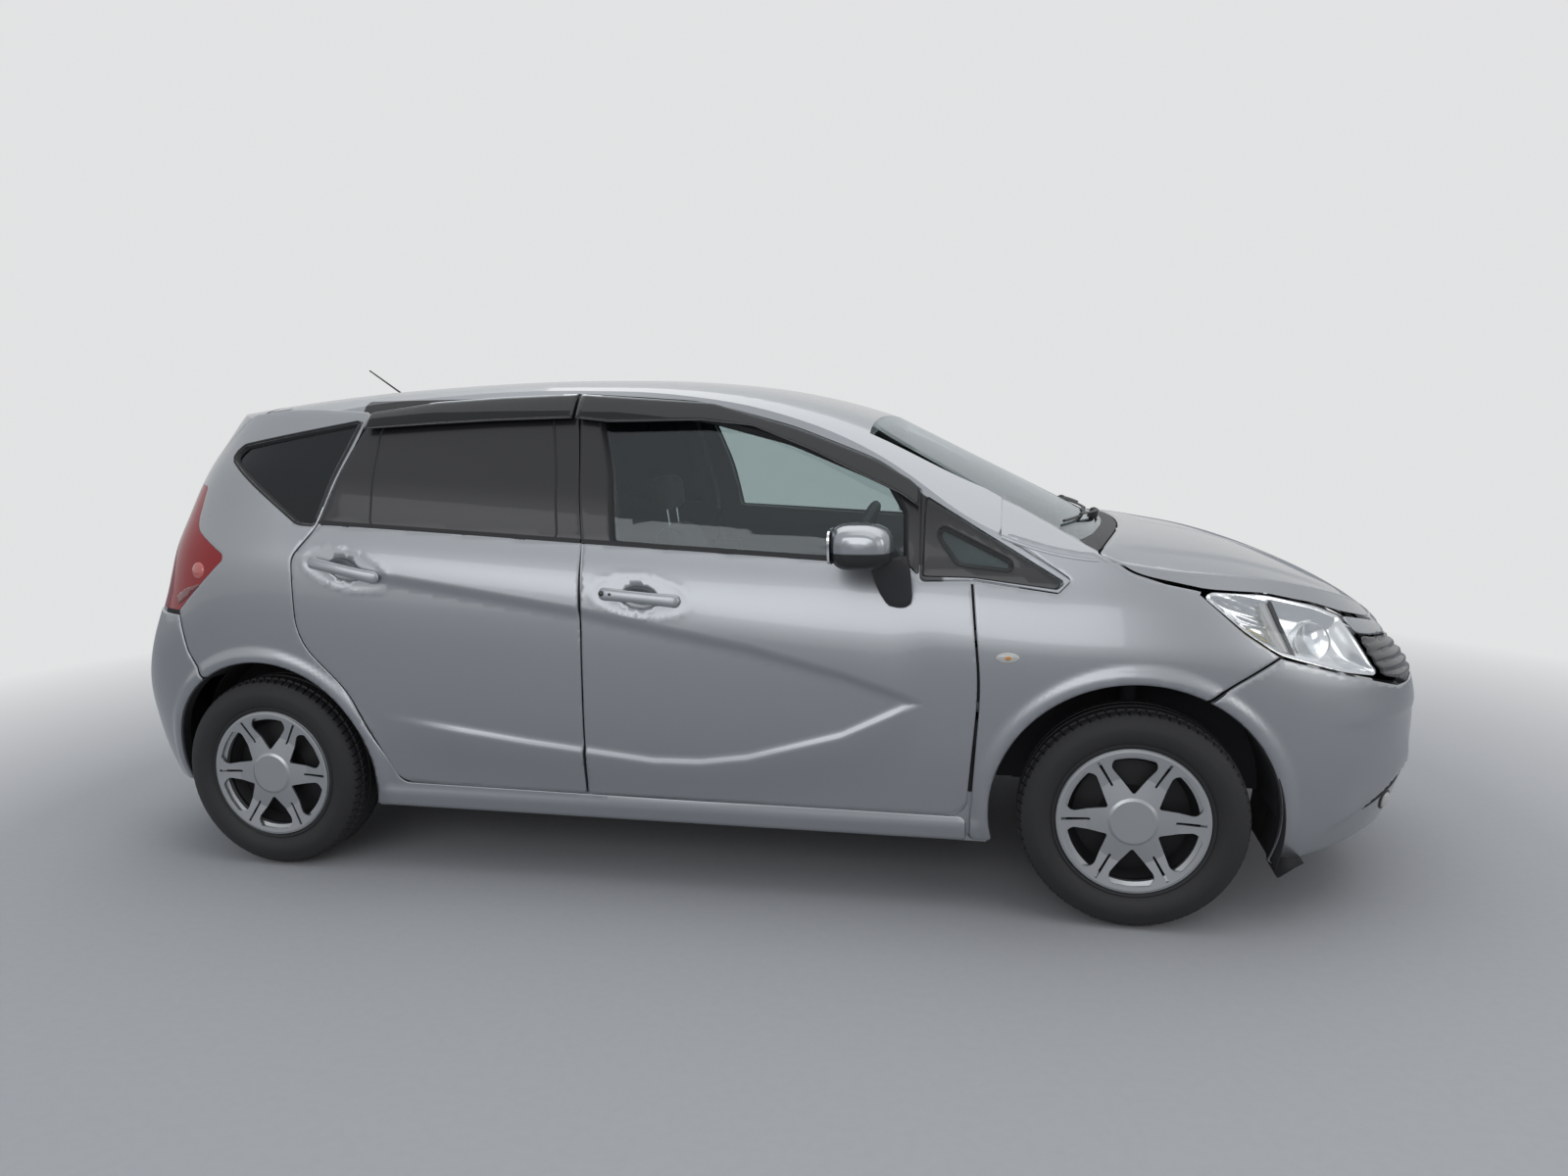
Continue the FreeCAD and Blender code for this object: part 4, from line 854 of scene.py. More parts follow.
SILVER = (0.37, 0.385, 0.405)
PAINT = finish_material("silver_paint", SILVER, 0.36, metallic=0.85, fine=1400.0, broad=3.0, bump=0.04,
                        vary=0.015, spread=0.05, Coat_Weight=1.0, Coat_Roughness=0.05, Coat_IOR=1.45)
BLACK_TAPE = finish_material("black_frame", (0.012, 0.012, 0.013), 0.32, bump=0.10, fine=700.0,
                             Coat_Weight=0.3)
RUBBER = finish_material("seal_rubber", (0.014, 0.014, 0.015), 0.62, bump=0.15, fine=600.0, spread=0.08)
DARK = finish_material("grained_plastic", (0.028, 0.028, 0.030), 0.52, bump=0.35, fine=900.0, spread=0.08)
DASH = finish_material("dash_plastic", (0.055, 0.056, 0.060), 0.58, bump=0.4, fine=700.0, spread=0.06)
UNDERBODY = finish_material("underbody_sealer", (0.035, 0.036, 0.040), 0.78, bump=0.6, fine=160.0, vary=0.2)
CASTING = finish_material("cast_metal", (0.34, 0.34, 0.35), 0.52, metallic=0.9, bump=0.5, fine=260.0,
                          vary=0.1)
STEEL = finish_material("stained_steel", (0.30, 0.28, 0.26), 0.46, metallic=0.95, bump=0.2, broad=9.0,
                        vary=0.25)
CLOTH = finish_material("seat_cloth", (0.105, 0.108, 0.115), 0.88, bump=0.7, fine=520.0, vary=0.10,
                        Sheen_Weight=0.3)
CHROME = finish_material("lamp_reflector", (0.86, 0.87, 0.88), 0.20, metallic=1.0, fine=20.0, vary=0.01,
                         spread=0.03)
TYRE = finish_material("tyre_rubber", (0.020, 0.020, 0.021), 0.66, bump=0.35, fine=420.0, broad=5.0,
                       vary=0.25, spread=0.10)
AMBER = finish_material("amber_lens", (0.62, 0.26, 0.04), 0.15, fine=90.0, bump=0.4, Coat_Weight=1.0)
OLIVE = finish_material("turn_reflector", (0.42, 0.36, 0.13), 0.22, metallic=0.6, fine=40.0, Coat_Weight=1.0)
MARKER = finish_material("marker_lens", (0.56, 0.55, 0.52), 0.12, fine=120.0, bump=0.3, Coat_Weight=1.0)
# Near black for the flap and the wheel-arch liner, and for the painted shadow sheet under each fog lamp's
# brow
BLACK_AND_SHADE = finish_material("black_and_painted_shade", (0.018, 0.018, 0.020), 0.80, fine=200.0, bump=0.2)
SLATS = finish_material("grille_black", (0.020, 0.020, 0.022), 0.30, bump=0.10, fine=700.0, Coat_Weight=0.6)
PLATE = finish_material("plate_face", (0.78, 0.78, 0.76), 0.35, fine=300.0, vary=0.02)
WINDSCREEN = glass_material("windscreen_glass", (0.76, 0.83, 0.82), pass_share=0.94)
FRONT_PANE = glass_material("front_pane_glass", (0.80, 0.85, 0.85), pass_share=0.95)
PRIVACY = glass_material("privacy_glass", (0.16, 0.20, 0.22), pass_share=0.80, haze=(0.010, 0.016, 0.022))
CLEAR = glass_material("clear_lens", (0.95, 0.96, 0.97), pass_share=0.985, haze=(0.4, 0.4, 0.4))
SMOKE = glass_material("smoked_visor", (0.16, 0.165, 0.175), pass_share=0.82, haze=(0.012, 0.012, 0.014))


def place_and_facing(tree):
    """Object place x, |y| (across), z, and the normal's shares ahead, outboard (out) and up, -1 to 1."""
    coords = add_node(tree, "TexCoord").outputs
    (x, y, z), (ahead, left, up) = ([Value(tree, part) for part in add_node(
        tree, "SeparateXYZ", {0: coords[source]}).outputs] for source in ("Object", "Normal"))
    return SimpleNamespace(x=x, across=y.calc("ABSOLUTE"), z=z, ahead=ahead, out=left * y.calc("SIGN"), up=up)


def layered_material(name, layers, masks):
    """Principled finish that takes each later layer (color, roughness, metallic, coat) where its mask is."""
    material, tree = new_material(name)
    layers = [(color + (1.0,), *numbers) for color, *numbers in layers]
    values = layers[0]
    for layer, mask in zip(layers[1:], masks(place_and_facing(tree))):
        kinds = ["RGBA"] + ["FLOAT"] * 3
        values = [mixed(tree, kind, mask, low, high) for kind, low, high in zip(kinds, values, layer)]
    color, roughness, metallic, coat = values
    fine, _ = grain_values(tree, 900.0, 4.0)
    wear = fine * 0.08 + (Value(tree, roughness) - 0.04)
    return surfaced(material, add_node(tree, "BsdfPrincipled", {
        "Base Color": color, "Roughness": wear, "Metallic": metallic, "Coat Weight": coat}).outputs[0])


PAINT_LAYER = (SILVER, 0.36, 0.85, 1.0)
# Painted shade: dark grey on the door jambs and in the doorways, so the gaps between doors and body look dark
JAMB_SHADE_LAYER = ((0.085, 0.088, 0.092), 0.45, 0.4, 0.2)
BLACK_LAYER = ((0.012, 0.012, 0.013), 0.40, 0.0, 0.2)
TRIM_LAYER = ((0.060, 0.060, 0.064), 0.70, 0.0, 0.0)
HEADLINER_LAYER = ((0.36, 0.36, 0.35), 0.90, 0.0, 0.0)
# Near black: dark housings, backs and wheel arches, and painted shade behind the seams between panels
BLACK_AND_SHADE_LAYER = ((0.018, 0.018, 0.020), 0.85, 0.0, 0.0)
RED_LAYER = ((0.34, 0.003, 0.008), 0.08, 0.0, 0.0)
SEALER_LAYER = ((0.035, 0.036, 0.040), 0.78, 0.0, 0.0)
CARPET_LAYER = ((0.022, 0.022, 0.024), 0.92, 0.0, 0.0)
COVER_LAYER = ((0.42, 0.43, 0.44), 0.34, 0.75, 0.6)
RIM_LAYER = ((0.020, 0.020, 0.021), 0.55, 0.5, 0.0)


def above_belt(at):
    """1 above the straight foot of the side windows."""
    return (at.x * 0.0595 + at.z).rising(1.0190, 1.0200)


def tail_seam_shade(at):
    """Painted shade: 1 behind the skins where the quarter panel meets the rear bumper."""
    return at.x.between(-1.780, -1.550) * at.z.between(0.600, 0.844)


def wheelhouse(at, axle_x, radius):
    """1 within a radius of an axle, measured from the side."""
    ahead, over = at.x - axle_x, at.z - AXLE_Z
    return (ahead * ahead + over * over).falling(radius ** 2 - 0.0004, radius ** 2)


def wheelhouses(at, rear_room, front_room):
    """1 inside the two wheel arches, each grown by its room."""
    return most(wheelhouse(at, REAR_AXLE_X, REAR_ARCH_RADIUS + rear_room),
                wheelhouse(at, FRONT_AXLE_X, FRONT_ARCH_RADIUS + front_room))


def door_masks(at):
    """Painted shade on the jamb where the surface turns from the side, black above the belt, trim where it
    faces the cabin.
    """
    return [at.out.falling(0.55, 0.70), above_belt(at), at.out.falling(-0.60, -0.45)]


def body_masks(at):
    """Painted shade on the doorways' jambs, black pillars above the belt, trim and headliner facing the
    cabin, painted shade behind the seams.

    The doorways' top is z = 1.4260 - 0.1992 * b - 0.3073 * b^2, where b is x but at least -0.35.
    """
    bow = at.x.calc("MAXIMUM", -0.35)
    top = bow * bow * -0.3073 + (bow * -0.1992 + 1.4260)
    rear = most(at.x.rising(-1.30, -1.29) * at.z.falling(1.08, 1.085), at.x.rising(-1.100, -1.095))
    within = (top - at.z).rising(0.0, 0.002) * rear * at.x.falling(0.70, 0.71)
    inward = at.out.falling(-0.45, -0.30)
    # Painted shade in the gap between the fender and the front door
    fender_seam_shade = at.x.between(0.752, 0.840) * at.z.between(0.360, 0.934)
    return [within * at.z.rising(0.295, 0.297), within * above_belt(at), inward,
            inward * at.z.rising(1.02, 1.03),
            most(fender_seam_shade, tail_seam_shade(at), wheelhouses(at, 0.007, 0.012))]


def fender_masks(at):
    """Dark behind the panel and along the wheel arch."""
    return [at.out.falling(0.0, 0.2), wheelhouse(at, FRONT_AXLE_X, FRONT_ARCH_RADIUS + 0.002)]


def bumper_masks(at):
    """Dark where the surface turns towards the middle of the car and inside both wheel arches; painted shade
    at the tail seam.
    """
    away = at.ahead * at.x.calc("SIGN")
    return [most(away.falling(-0.5, -0.3), at.out.falling(-0.3, -0.1), tail_seam_shade(at),
                 wheelhouses(at, 0.003, 0.003))]


def lamp_masks(at):
    """Dark housing where the surface looks forward or towards the middle of the car."""
    return [most(at.out.falling(-0.3, -0.1), at.ahead.rising(0.30, 0.45))]


def roof_masks(at):
    """Headliner where the surface looks down."""
    return [at.up.falling(-0.4, -0.2)]


def floor_masks(at):
    """Carpet where the surface looks up or inwards above the pan."""
    return [at.up.rising(-0.1, 0.1) * at.z.rising(0.222, 0.224)]


def wheel_masks(at):
    """Dark steel inboard of the cover."""
    return [at.across.falling(0.7950, 0.7960)]


DOOR_SHELL = layered_material("door_shell", [PAINT_LAYER, JAMB_SHADE_LAYER, BLACK_LAYER, TRIM_LAYER], door_masks)
BODY_SHELL = layered_material("body_shell", [PAINT_LAYER, JAMB_SHADE_LAYER, BLACK_LAYER, TRIM_LAYER,
                                             HEADLINER_LAYER, BLACK_AND_SHADE_LAYER], body_masks)
FENDER_SHELL = layered_material("fender_shell", [PAINT_LAYER, BLACK_AND_SHADE_LAYER, BLACK_AND_SHADE_LAYER], fender_masks)
BUMPER_SHELL = layered_material("bumper_shell", [PAINT_LAYER, BLACK_AND_SHADE_LAYER], bumper_masks)
TAIL_SHELL = layered_material("tail_lamp_shell", [RED_LAYER, BLACK_AND_SHADE_LAYER], lamp_masks)
ROOF_SHELL = layered_material("roof_shell", [PAINT_LAYER, HEADLINER_LAYER], roof_masks)
FLOOR_SHELL = layered_material("floor_shell", [SEALER_LAYER, CARPET_LAYER], floor_masks)
WHEEL_COVER = layered_material("wheel_cover", [COVER_LAYER, RIM_LAYER], wheel_masks)
MIRROR_SHELL = split_material("mirror_shell", ((0.014, 0.014, 0.015), 0.50, 0.0, 0.1),
                              (SILVER, 0.28, 0.82, 1.0), 1.034)

CAD_FINISH = {
    "body_side": BODY_SHELL, "door_front": DOOR_SHELL, "door_rear": DOOR_SHELL, "fender": FENDER_SHELL,
    "front_bumper": BUMPER_SHELL, "rear_bumper": BUMPER_SHELL, "hood": PAINT, "tailgate": PAINT,
    "roof_panel": ROOF_SHELL, "mirror": MIRROR_SHELL, "door_glass_front": FRONT_PANE,
    "door_glass_rear": PRIVACY,
    "quarter_glass": PRIVACY, "tailgate_glass": PRIVACY, "windshield": WINDSCREEN,
    "corner_windows": FRONT_PANE,
    "cowl_panel": DARK, "grille": DARK, "dashboard": DASH, "steering_wheel": DARK, "aerial": DARK,
    "headlamps": CHROME, "tail_lamps": TAIL_SHELL, "floor_pan": FLOOR_SHELL, "engine_bay": UNDERBODY,
    "front_suspension": UNDERBODY, "rear_axle": UNDERBODY, "knuckle": CASTING, "fuel_tank": UNDERBODY,
    "engine_block": CASTING, "exhaust": STEEL, "front_seat": CLOTH, "rear_seat": CLOTH, "wheel": WHEEL_COVER,
    "tyre": TYRE,
}
for name, obj in nodes.items():
    base = next(k for k in sorted(CAD_FINISH, key=len, reverse=True) if name.startswith(k))
    obj.data.materials.clear()
    obj.data.materials.append(CAD_FINISH[base])


# Painted side

SIDE_FRAME = [
    (0.774, 0.2165, 0.01), (0.772, 0.2870, 0.02), (-0.940, 0.2955, 0.05), (-1.010, 0.430, 0.30),
    (-1.085, 0.585, 0.30), (-1.240, 0.740, 0.20), (-1.252, 0.990, 0.06), (-1.178, 1.078, 0.10),
    (-1.092, 1.340, 0.06), (-1.070, 1.424, 0.01), (-1.300, 1.441, 0.8), (-1.512, 1.424, 0.02),
    (-1.558, 1.350, 0.3), (-1.606, 1.250, 0.3), (-1.628, 1.196, 0.01), (-1.640, 1.075, 0.06),
    (-1.500, 0.996, 0.025), (-1.500, 0.978, 0.015), (-1.690, 0.815, 0.02), (-1.688, 0.806, 0.01),
    (-1.650, 0.690, 0.10), (-1.585, 0.600), (-1.10, 0.2165),
]
FRONT_DOOR_SKIN = [
    (-0.334, 0.292, 0.012), (-0.322, 0.628, 0.9), (-0.318, 0.800, 0.9), (-0.3245, 1.0395, 0.006),
    (0.600, 0.985, 0.004), (0.645, 0.941, 0.012), (0.781, 0.943, 0.012), (0.806, 0.660, 0.9),
    (0.772, 0.289, 0.06),
]
REAR_DOOR_SKIN = [
    (-0.334, 0.292, 0.012), (-0.322, 0.628, 0.9), (-0.318, 0.800, 0.9), (-0.3245, 1.0395, 0.006),
    (-1.168, 1.0905, 0.03), (-1.252, 0.990, 0.06), (-1.240, 0.740, 0.20), (-1.085, 0.585, 0.30),
    (-1.010, 0.430, 0.30), (-0.950, 0.298, 0.07),
]
FENDER_SKIN = [
    (0.783, 0.945, 0.008), (0.808, 0.660, 0.9), (0.776, 0.2165, 0.02), (1.180, 0.2165), (1.385, 0.640),
    (1.453, 0.685, 0.2), (1.567, 0.752), (1.476, 0.813, 0.2), (1.3665, 0.9085, 0.004),
    (1.376, 0.9190, 0.003), (1.238, 0.9490, 0.3), (1.192, 0.964, 0.15), (1.120, 1.008, 0.04),
    (1.096, 1.0215, 0.01), (1.060, 1.0245), (1.000, 1.0355), (0.950, 1.0490), (0.880, 1.0700, 0.006),
    (0.863, 1.063, 0.004), (1.038, 0.946, 0.01), (1.006, 0.914, 0.01),
]
FRONT_WINDOW = [
    (-0.236, 1.040, 0.012), (-0.262, 1.230, 0.6), (-0.318, 1.410, 0.02), (0, 1.388, 0.5),
    (0.268, 1.316, 0.5), (0.552, 1.198, 0.03), (0.600, 1.122, 0.03), (0.604, 0.984, 0.01),
]
REAR_WINDOW = [
    (-0.998, 1.090, 0.014), (-0.410, 1.050, 0.012), (-0.432, 1.230, 0.6), (-0.470, 1.412, 0.02),
    (-0.800, 1.404, 0.5), (-1.016, 1.376, 0.025),
]
QUARTER_WINDOW = [
    (-1.098, 1.392, 0.008), (-1.190, 1.088, 0.01), (-1.245, 1.092, 0.06), (-1.538, 1.292, 0.04),
    (-1.500, 1.324, 0.03),
]
FRONT_FRAME = [
    (-0.326, 1.040, 0.004), (-0.389, 1.465, 0.014), (0, 1.434, 0.7), (0.279, 1.357, 0.9),
    (0.520, 1.263, 0.5), (0.641, 1.180, 0.02), (0.645, 0.943, 0.006), (0.600, 0.9855, 0.004),
]
REAR_FRAME = [
    (-0.326, 1.040, 0.004), (-0.389, 1.465, 0.014), (-0.855, 1.452, 0.7), (-1.055, 1.424, 0.04),
    (-1.090, 1.345, 0.06), (-1.170, 1.092, 0.01),
]
FRONT_BUMPER_SKIN = [
    ("side", [(1.388, 0.638), (1.453, 0.684, 0.2), (1.567, 0.750, 0.01), (1.740, 0.698, 0.2),
              (1.905, 0.645, 0.06)]),
    ("nose", [(-0.40, 0.636, 0.1), (0.12, 0.636), (0.12, 0.240), (-0.40, 0.240, 0.1)]),
    ("side", [(1.900, 0.230, 0.05), (1.850, 0.226, 0.2), (1.645, 0.180, 0.1), (1.588, 0.160),
              (1.388, 0.300)]),
]
REAR_BUMPER_SKIN = [
    ("side", [(-1.600, 0.240), (-1.590, 0.604), (-1.650, 0.690, 0.1), (-1.688, 0.804, 0.01)]),
    ("tail", [(-0.588, 0.804, 0.01), (-0.552, 0.644, 0.02), (0.12, 0.644), (0.12, 0.236),
              (-0.50, 0.236, 0.1)]),
    ("side", [(-1.900, 0.236, 0.1)]),
]
REAR_ARCH = (REAR_AXLE_X, REAR_ARCH_RADIUS + 0.0005)
FRONT_ARCH = (FRONT_AXLE_X, FRONT_ARCH_RADIUS + 0.0005)

on_both_sides("side_frame_skin", *side_panel(SIDE_FRAME, [REAR_ARCH, QUARTER_WINDOW], inset=0.001,
              hole_margin=0.004), PAINT, "body", "paint")
for end, skin_line in (("front", FRONT_DOOR_SKIN), ("rear", REAR_DOOR_SKIN)):
    on_both_sides(f"{end}_door_skin", *side_panel(skin_line, creases=True), PAINT, f"door_{end}_%", "paint")
on_both_sides("fender_skin", *side_panel(FENDER_SKIN, [FRONT_ARCH]), PAINT, "body", "paint")
for end, frame_line, window in (("front", FRONT_FRAME, FRONT_WINDOW), ("rear", REAR_FRAME, REAR_WINDOW)):
    frame_skin = side_panel(frame_line, [window], relief=None, hole_margin=0.002, step=0.02)
    on_both_sides(f"{end}_frame_skin", *frame_skin, BLACK_TAPE, f"door_{end}_%", "dark_plastic")
LOWER_GRILLE = [("nose", [(0.12, 0.252), (-0.42, 0.264, 0.04), (-0.468, 0.400, 0.04), (-0.438, 0.438, 0.03),
                          (0.12, 0.450)])]
bumpers = {"front": end_panel(FRONT_BUMPER_SKIN, [LOWER_GRILLE], relief=bumper_relief, arch=FRONT_ARCH),
           "rear": end_panel(REAR_BUMPER_SKIN, arch=REAR_ARCH)}
for end, half in bumpers.items():
    make_object(f"{end}_bumper_skin", *whole_width(*half), PAINT, "body", "paint")


# Hood and the foot of the windscreen pillar

HOOD_CENTRE = np.array([
    (0.300, 1.120), (0.900, 1.080), (1.100, 1.062), (1.300, 1.028), (1.500, 0.988), (1.700, 0.920),
    (1.850, 0.846), (1.950, 0.770), (2.100, 0.640),
])
ROOF_CENTRE = np.array([(0.590, 1.352), (0.750, 1.290), (1.000, 1.226), (1.400, 1.200), (2.200, 1.200)])
HOOD_FRONT_Z = 0.8090
COWL_X, COWL_BOW, COWL_Y = 1.2185, 0.115, 0.777
SCREEN_X, SCREEN_Z, SCREEN_SLOPE, SCREEN_BOW, SCREEN_HALF = 0.849, 1.207, 0.513, 0.105, 0.72


def centre_line(points, x):
    """Height at x on a line through the points, by cubics whose slopes are the means of their runs'."""
    px, pz = points[:, 0], points[:, 1]
    slopes = np.diff(pz) / np.diff(px)
    tangents = np.r_[slopes[0], (slopes[:-1] + slopes[1:]) / 2, slopes[-1]]
    k = np.clip(np.searchsorted(px, x, side="right") - 1, 0, len(px) - 2)
    h = px[k + 1] - px[k]
    t = np.clip((x - px[k]) / h, 0, 1)
    return (pz[k] * (2 * t ** 3 - 3 * t ** 2 + 1) + tangents[k] * h * (t ** 3 - 2 * t ** 2 + t)
            + pz[k + 1] * (3 * t ** 2 - 2 * t ** 3) + tangents[k + 1] * h * (t ** 3 - t ** 2))


def hood_fall(y):
    """How far the hood's surface has fallen from its centre line: 30 s^2 + 46 s^6 mm, s = |y| / 0.8."""
    share = np.abs(y) / 0.800
    return 0.030 * share ** 2 + 0.046 * share ** 6


def hood_height(x, y):
    """Hood surface."""
    return centre_line(HOOD_CENTRE, x) - hood_fall(y)


def screen_height(x, y):
    """Windscreen surface: z0 - slope * (x + bow * (y / half)^2 - x0)."""
    return SCREEN_Z - SCREEN_SLOPE * (x + SCREEN_BOW * (y / SCREEN_HALF) ** 2 - SCREEN_X)


def pillar_height(x, y):
    """The lower of the roof surface, run forward past its rail, and the windscreen surface."""
    side = np.abs(y)
    rail = np.minimum(side, 0.700)
    drop = 0.045 * (rail / 0.640) ** 8
    roof = centre_line(ROOF_CENTRE, x) - 0.024 * (side / 0.560) ** 2 - drop - 8 * drop / 0.700 * (side - rail)
    return np.minimum(roof, screen_height(x, y))


def crossing(height):
    """Where the side's surface passes up through z = height(x, y): one point for each column of its table."""
    over = SIDE[..., 2] - height(SIDE[..., 0], SIDE[..., 1])
    change = (over[:-1] < 0) & (over[1:] >= 0)
    column = np.flatnonzero(change.any(0))
    row = change[:, column].argmax(0)
    a, b = over[row, column], over[row + 1, column]
    share = (a / (a - b))[:, None]
    return SIDE[row, column] * (1 - share) + SIDE[row + 1, column] * share


def hood_skin():
    """Skin over the hood, lifted at the rear corners to meet the fenders, with two soft creases."""
    rim = crossing(hood_height)
    rim = rim[(rim[:, 0] > 1.114) & (rim[:, 1] < 0.06)]
    x = np.linspace(1.6, 2.1, 400)
    level = np.interp(-(HOOD_FRONT_Z + hood_fall(rim[:, 1])), -centre_line(HOOD_CENTRE, x), x)
    rim[:, 0] = np.where(rim[:, 2] < HOOD_FRONT_Z, level, rim[:, 0])
    y = np.linspace(-0.752, 0.060, 80)
    cowl = np.column_stack([COWL_X - COWL_BOW * (y / COWL_Y) ** 2, y])
    loop = np.concatenate([even_points(rim[:, :2], 120), cowl])
    inward = left_of(unit(loop_runs(loop)))
    inward *= np.sign((inward * (np.array([1.5, 0.0]) - loop)).sum(1))[:, None]
    loop = loop + inward * np.where(loop[:, 1] > 0.05, 0.0, 0.0025)[:, None]
    verts, faces, edge = filled(dense(loop), [], 0.016)
    x, y = verts[:, 0], verts[:, 1]
    side = np.abs(y)
    corner = 0.0125 * (1 - smooth_step(x, 1.118, 1.180)) * smooth_step(side, 0.56, 0.755)
    crease_y = 0.655 - 0.28 * (x - 1.13)
    ridge = 0.0060 * (1 - smooth_step(side, crease_y - 0.012, crease_y + 0.030))
    ridge *= smooth_step(edge, 0.004, 0.090)
    points = np.column_stack([x, y, hood_height(x, y) + corner + ridge + SKIN_LIFT - hem(edge, 0.004)])
    return whole_width(points, faced(points, faces, np.tile([0.0, 0.0, 1.0], (len(points), 1))))


make_object("hood_skin", *hood_skin(), PAINT, "hood", "paint")


def pillar_foot():
    """Skin from the windscreen's side edge over the pillar's foot to the fender.

    Rows run across at even shares between the glass edge and the side, on the pillar surface; the first drops
    beside the glass and the last two follow the side down.
    """
    rim = crossing(pillar_height)
    rim = rim[(rim[:, 0] > 0.80) & (rim[:, 0] < 1.16)]
    rim = rim[np.argsort(rim[:, 0])]
    x = np.linspace(0.8570, 1.1090, 63)
    outer_y, outer_z = np.interp(x, rim[:, 0], rim[:, 1]), np.interp(x, rim[:, 0], rim[:, 2])
    inner_y = np.interp(x, [0.870, 1.055, 1.075, 1.110], [-0.6705, -0.7115, -0.7380, -0.7395])
    rows = [np.column_stack([x, inner_y, pillar_height(x, inner_y) - 0.014])]
    for share in np.linspace(0, 1, 14) ** 0.8:
        y = inner_y + (outer_y - inner_y) * share
        rows.append(np.column_stack([x, y, pillar_height(x, y) + 0.0022]))
    for down in (0.004, 0.009, 0.014):
        points, _ = on_side(x, outer_z - down, 0.0030 if down < 0.01 else 0.0010)
        rows.append(points)
    faces = grid_faces(len(rows), len(x))
    verts = np.concatenate(rows)
    a, b, c = verts[list(faces[len(faces) // 2][:3])]
    return verts, faces if np.cross(b - a, c - a)[2] > 0 else [face[::-1] for face in faces]


# Surfaces between the seams

def on_side(x, z, out=0.0, view="side"):
    """Points of the right side's surface at given places, moved out along the normal."""
    a, z, out = np.broadcast_arrays(np.atleast_1d(np.asarray(x, float)), z, out)
    points, normals = rolled(unrolled(np.column_stack([a.ravel(), z.ravel()]), view))
    return points + normals * out.ravel()[:, None], normals


def banded(points, normals, profile, ring=False):
    """Bar of one section (across, out) along a run or ring of surface points; across = normal x direction."""
    along = unit(loop_runs(points) if ring else np.gradient(points, axis=0))
    across = unit(np.cross(normals, along))
    profile = np.asarray(profile, float)
    verts = points[:, None] + across[:, None] * profile[None, :, :1] + normals[:, None] * profile[None, :, 1:]
    verts = verts.reshape(-1, 3)
    size = len(points), len(profile)
    return verts, outward(verts, grid_faces(*size, True, True) if ring else tube_faces(*size))


def side_run(line, out=0.0, step=0.02):
    """Dense points and normals of the side's surface along an open line (x, z)."""
    flat = dense(np.asarray(line, float), step, closed=False)
    return on_side(flat[:, 0], flat[:, 1], out)


def window_seal(hole, name, body):
    """Rubber round a window: a lip on the frame that slopes down to the pane."""
    flat = unrolled(rounded(grown(hole, 0.0025), 0.02), "side")
    points, normals = rolled(flat)
    centre = points.mean(0)
    profile = [(0.0055, 0.0000), (0.0050, 0.0034), (0.0010, 0.0038), (-0.0080, -0.0070), (-0.0095, -0.0118),
               (-0.0030, -0.0122)]
    along = np.roll(points, -1, axis=0) - points
    if (np.cross(normals, along) * (points - centre)).sum() < 0:
        points, normals = points[::-1], normals[::-1]
    on_both_sides(name, *banded(points, normals, profile, ring=True), RUBBER, body, "dark_plastic", sharp=50)


def blister(cx, cz, half_x, half_z, height, base, tilt=0.0, rings=14, spokes=40):
    """Domed oval on the side: h = base + height * (1 - r^2)^(1/2) over an ellipse, with a short skirt."""
    r = np.concatenate([np.linspace(0, 1, rings), [1.0]])
    angle = turns(spokes)
    u = half_x * r[:, None] * np.cos(angle)
    w = half_z * r[:, None] * np.sin(angle)
    x = cx + u * math.cos(tilt) - w * math.sin(tilt)
    z = cz + u * math.sin(tilt) + w * math.cos(tilt)
    out = base + height * np.sqrt(np.maximum(0, 1 - r ** 2))
    out[-1] = base - 0.004
    points, _ = on_side(x.ravel(), z.ravel(), np.repeat(out, spokes))
    faces = grid_faces(len(r), spokes, wrap_columns=True)
    return points, outward(points, faces + [tuple(range((len(r) - 1) * spokes, len(r) * spokes))])


VISOR_SHEET = 0.0024


def visor(top, foot, name, body):
    """Smoked rain visor: a sheet that stands off by 0.003 + 0.019 * t^0.75, t from 0 at its top to 1."""
    x = np.linspace(top[0][0], top[-1][0], 70)
    t = np.linspace(0, 1, 9)[:, None]
    z_top, z_foot = line_height(np.array(top), x), line_height(np.array(foot), x)
    z = z_top + (z_foot - z_top) * t
    rise = (0.003 + 0.019 * t ** 0.75) + 0 * z
    across = np.broadcast_to(x, z.shape)
    verts = np.concatenate([on_side(across, z, rise + out)[0] for out in (VISOR_SHEET, 0.0)])
    on_both_sides(name, verts, outward(verts, sheet_faces(*z.shape)), SMOKE, body, "glass")
    edge_points, edge_normals = on_side(x, z_foot, 0.0236)
    on_both_sides(name + "_edge", *banded(edge_points, edge_normals, [(0.0014, 0.0012), (-0.0014, 0.0012),
                  (-0.0014, -0.0012), (0.0014, -0.0012)]), BLACK_TAPE, body, "dark_plastic")


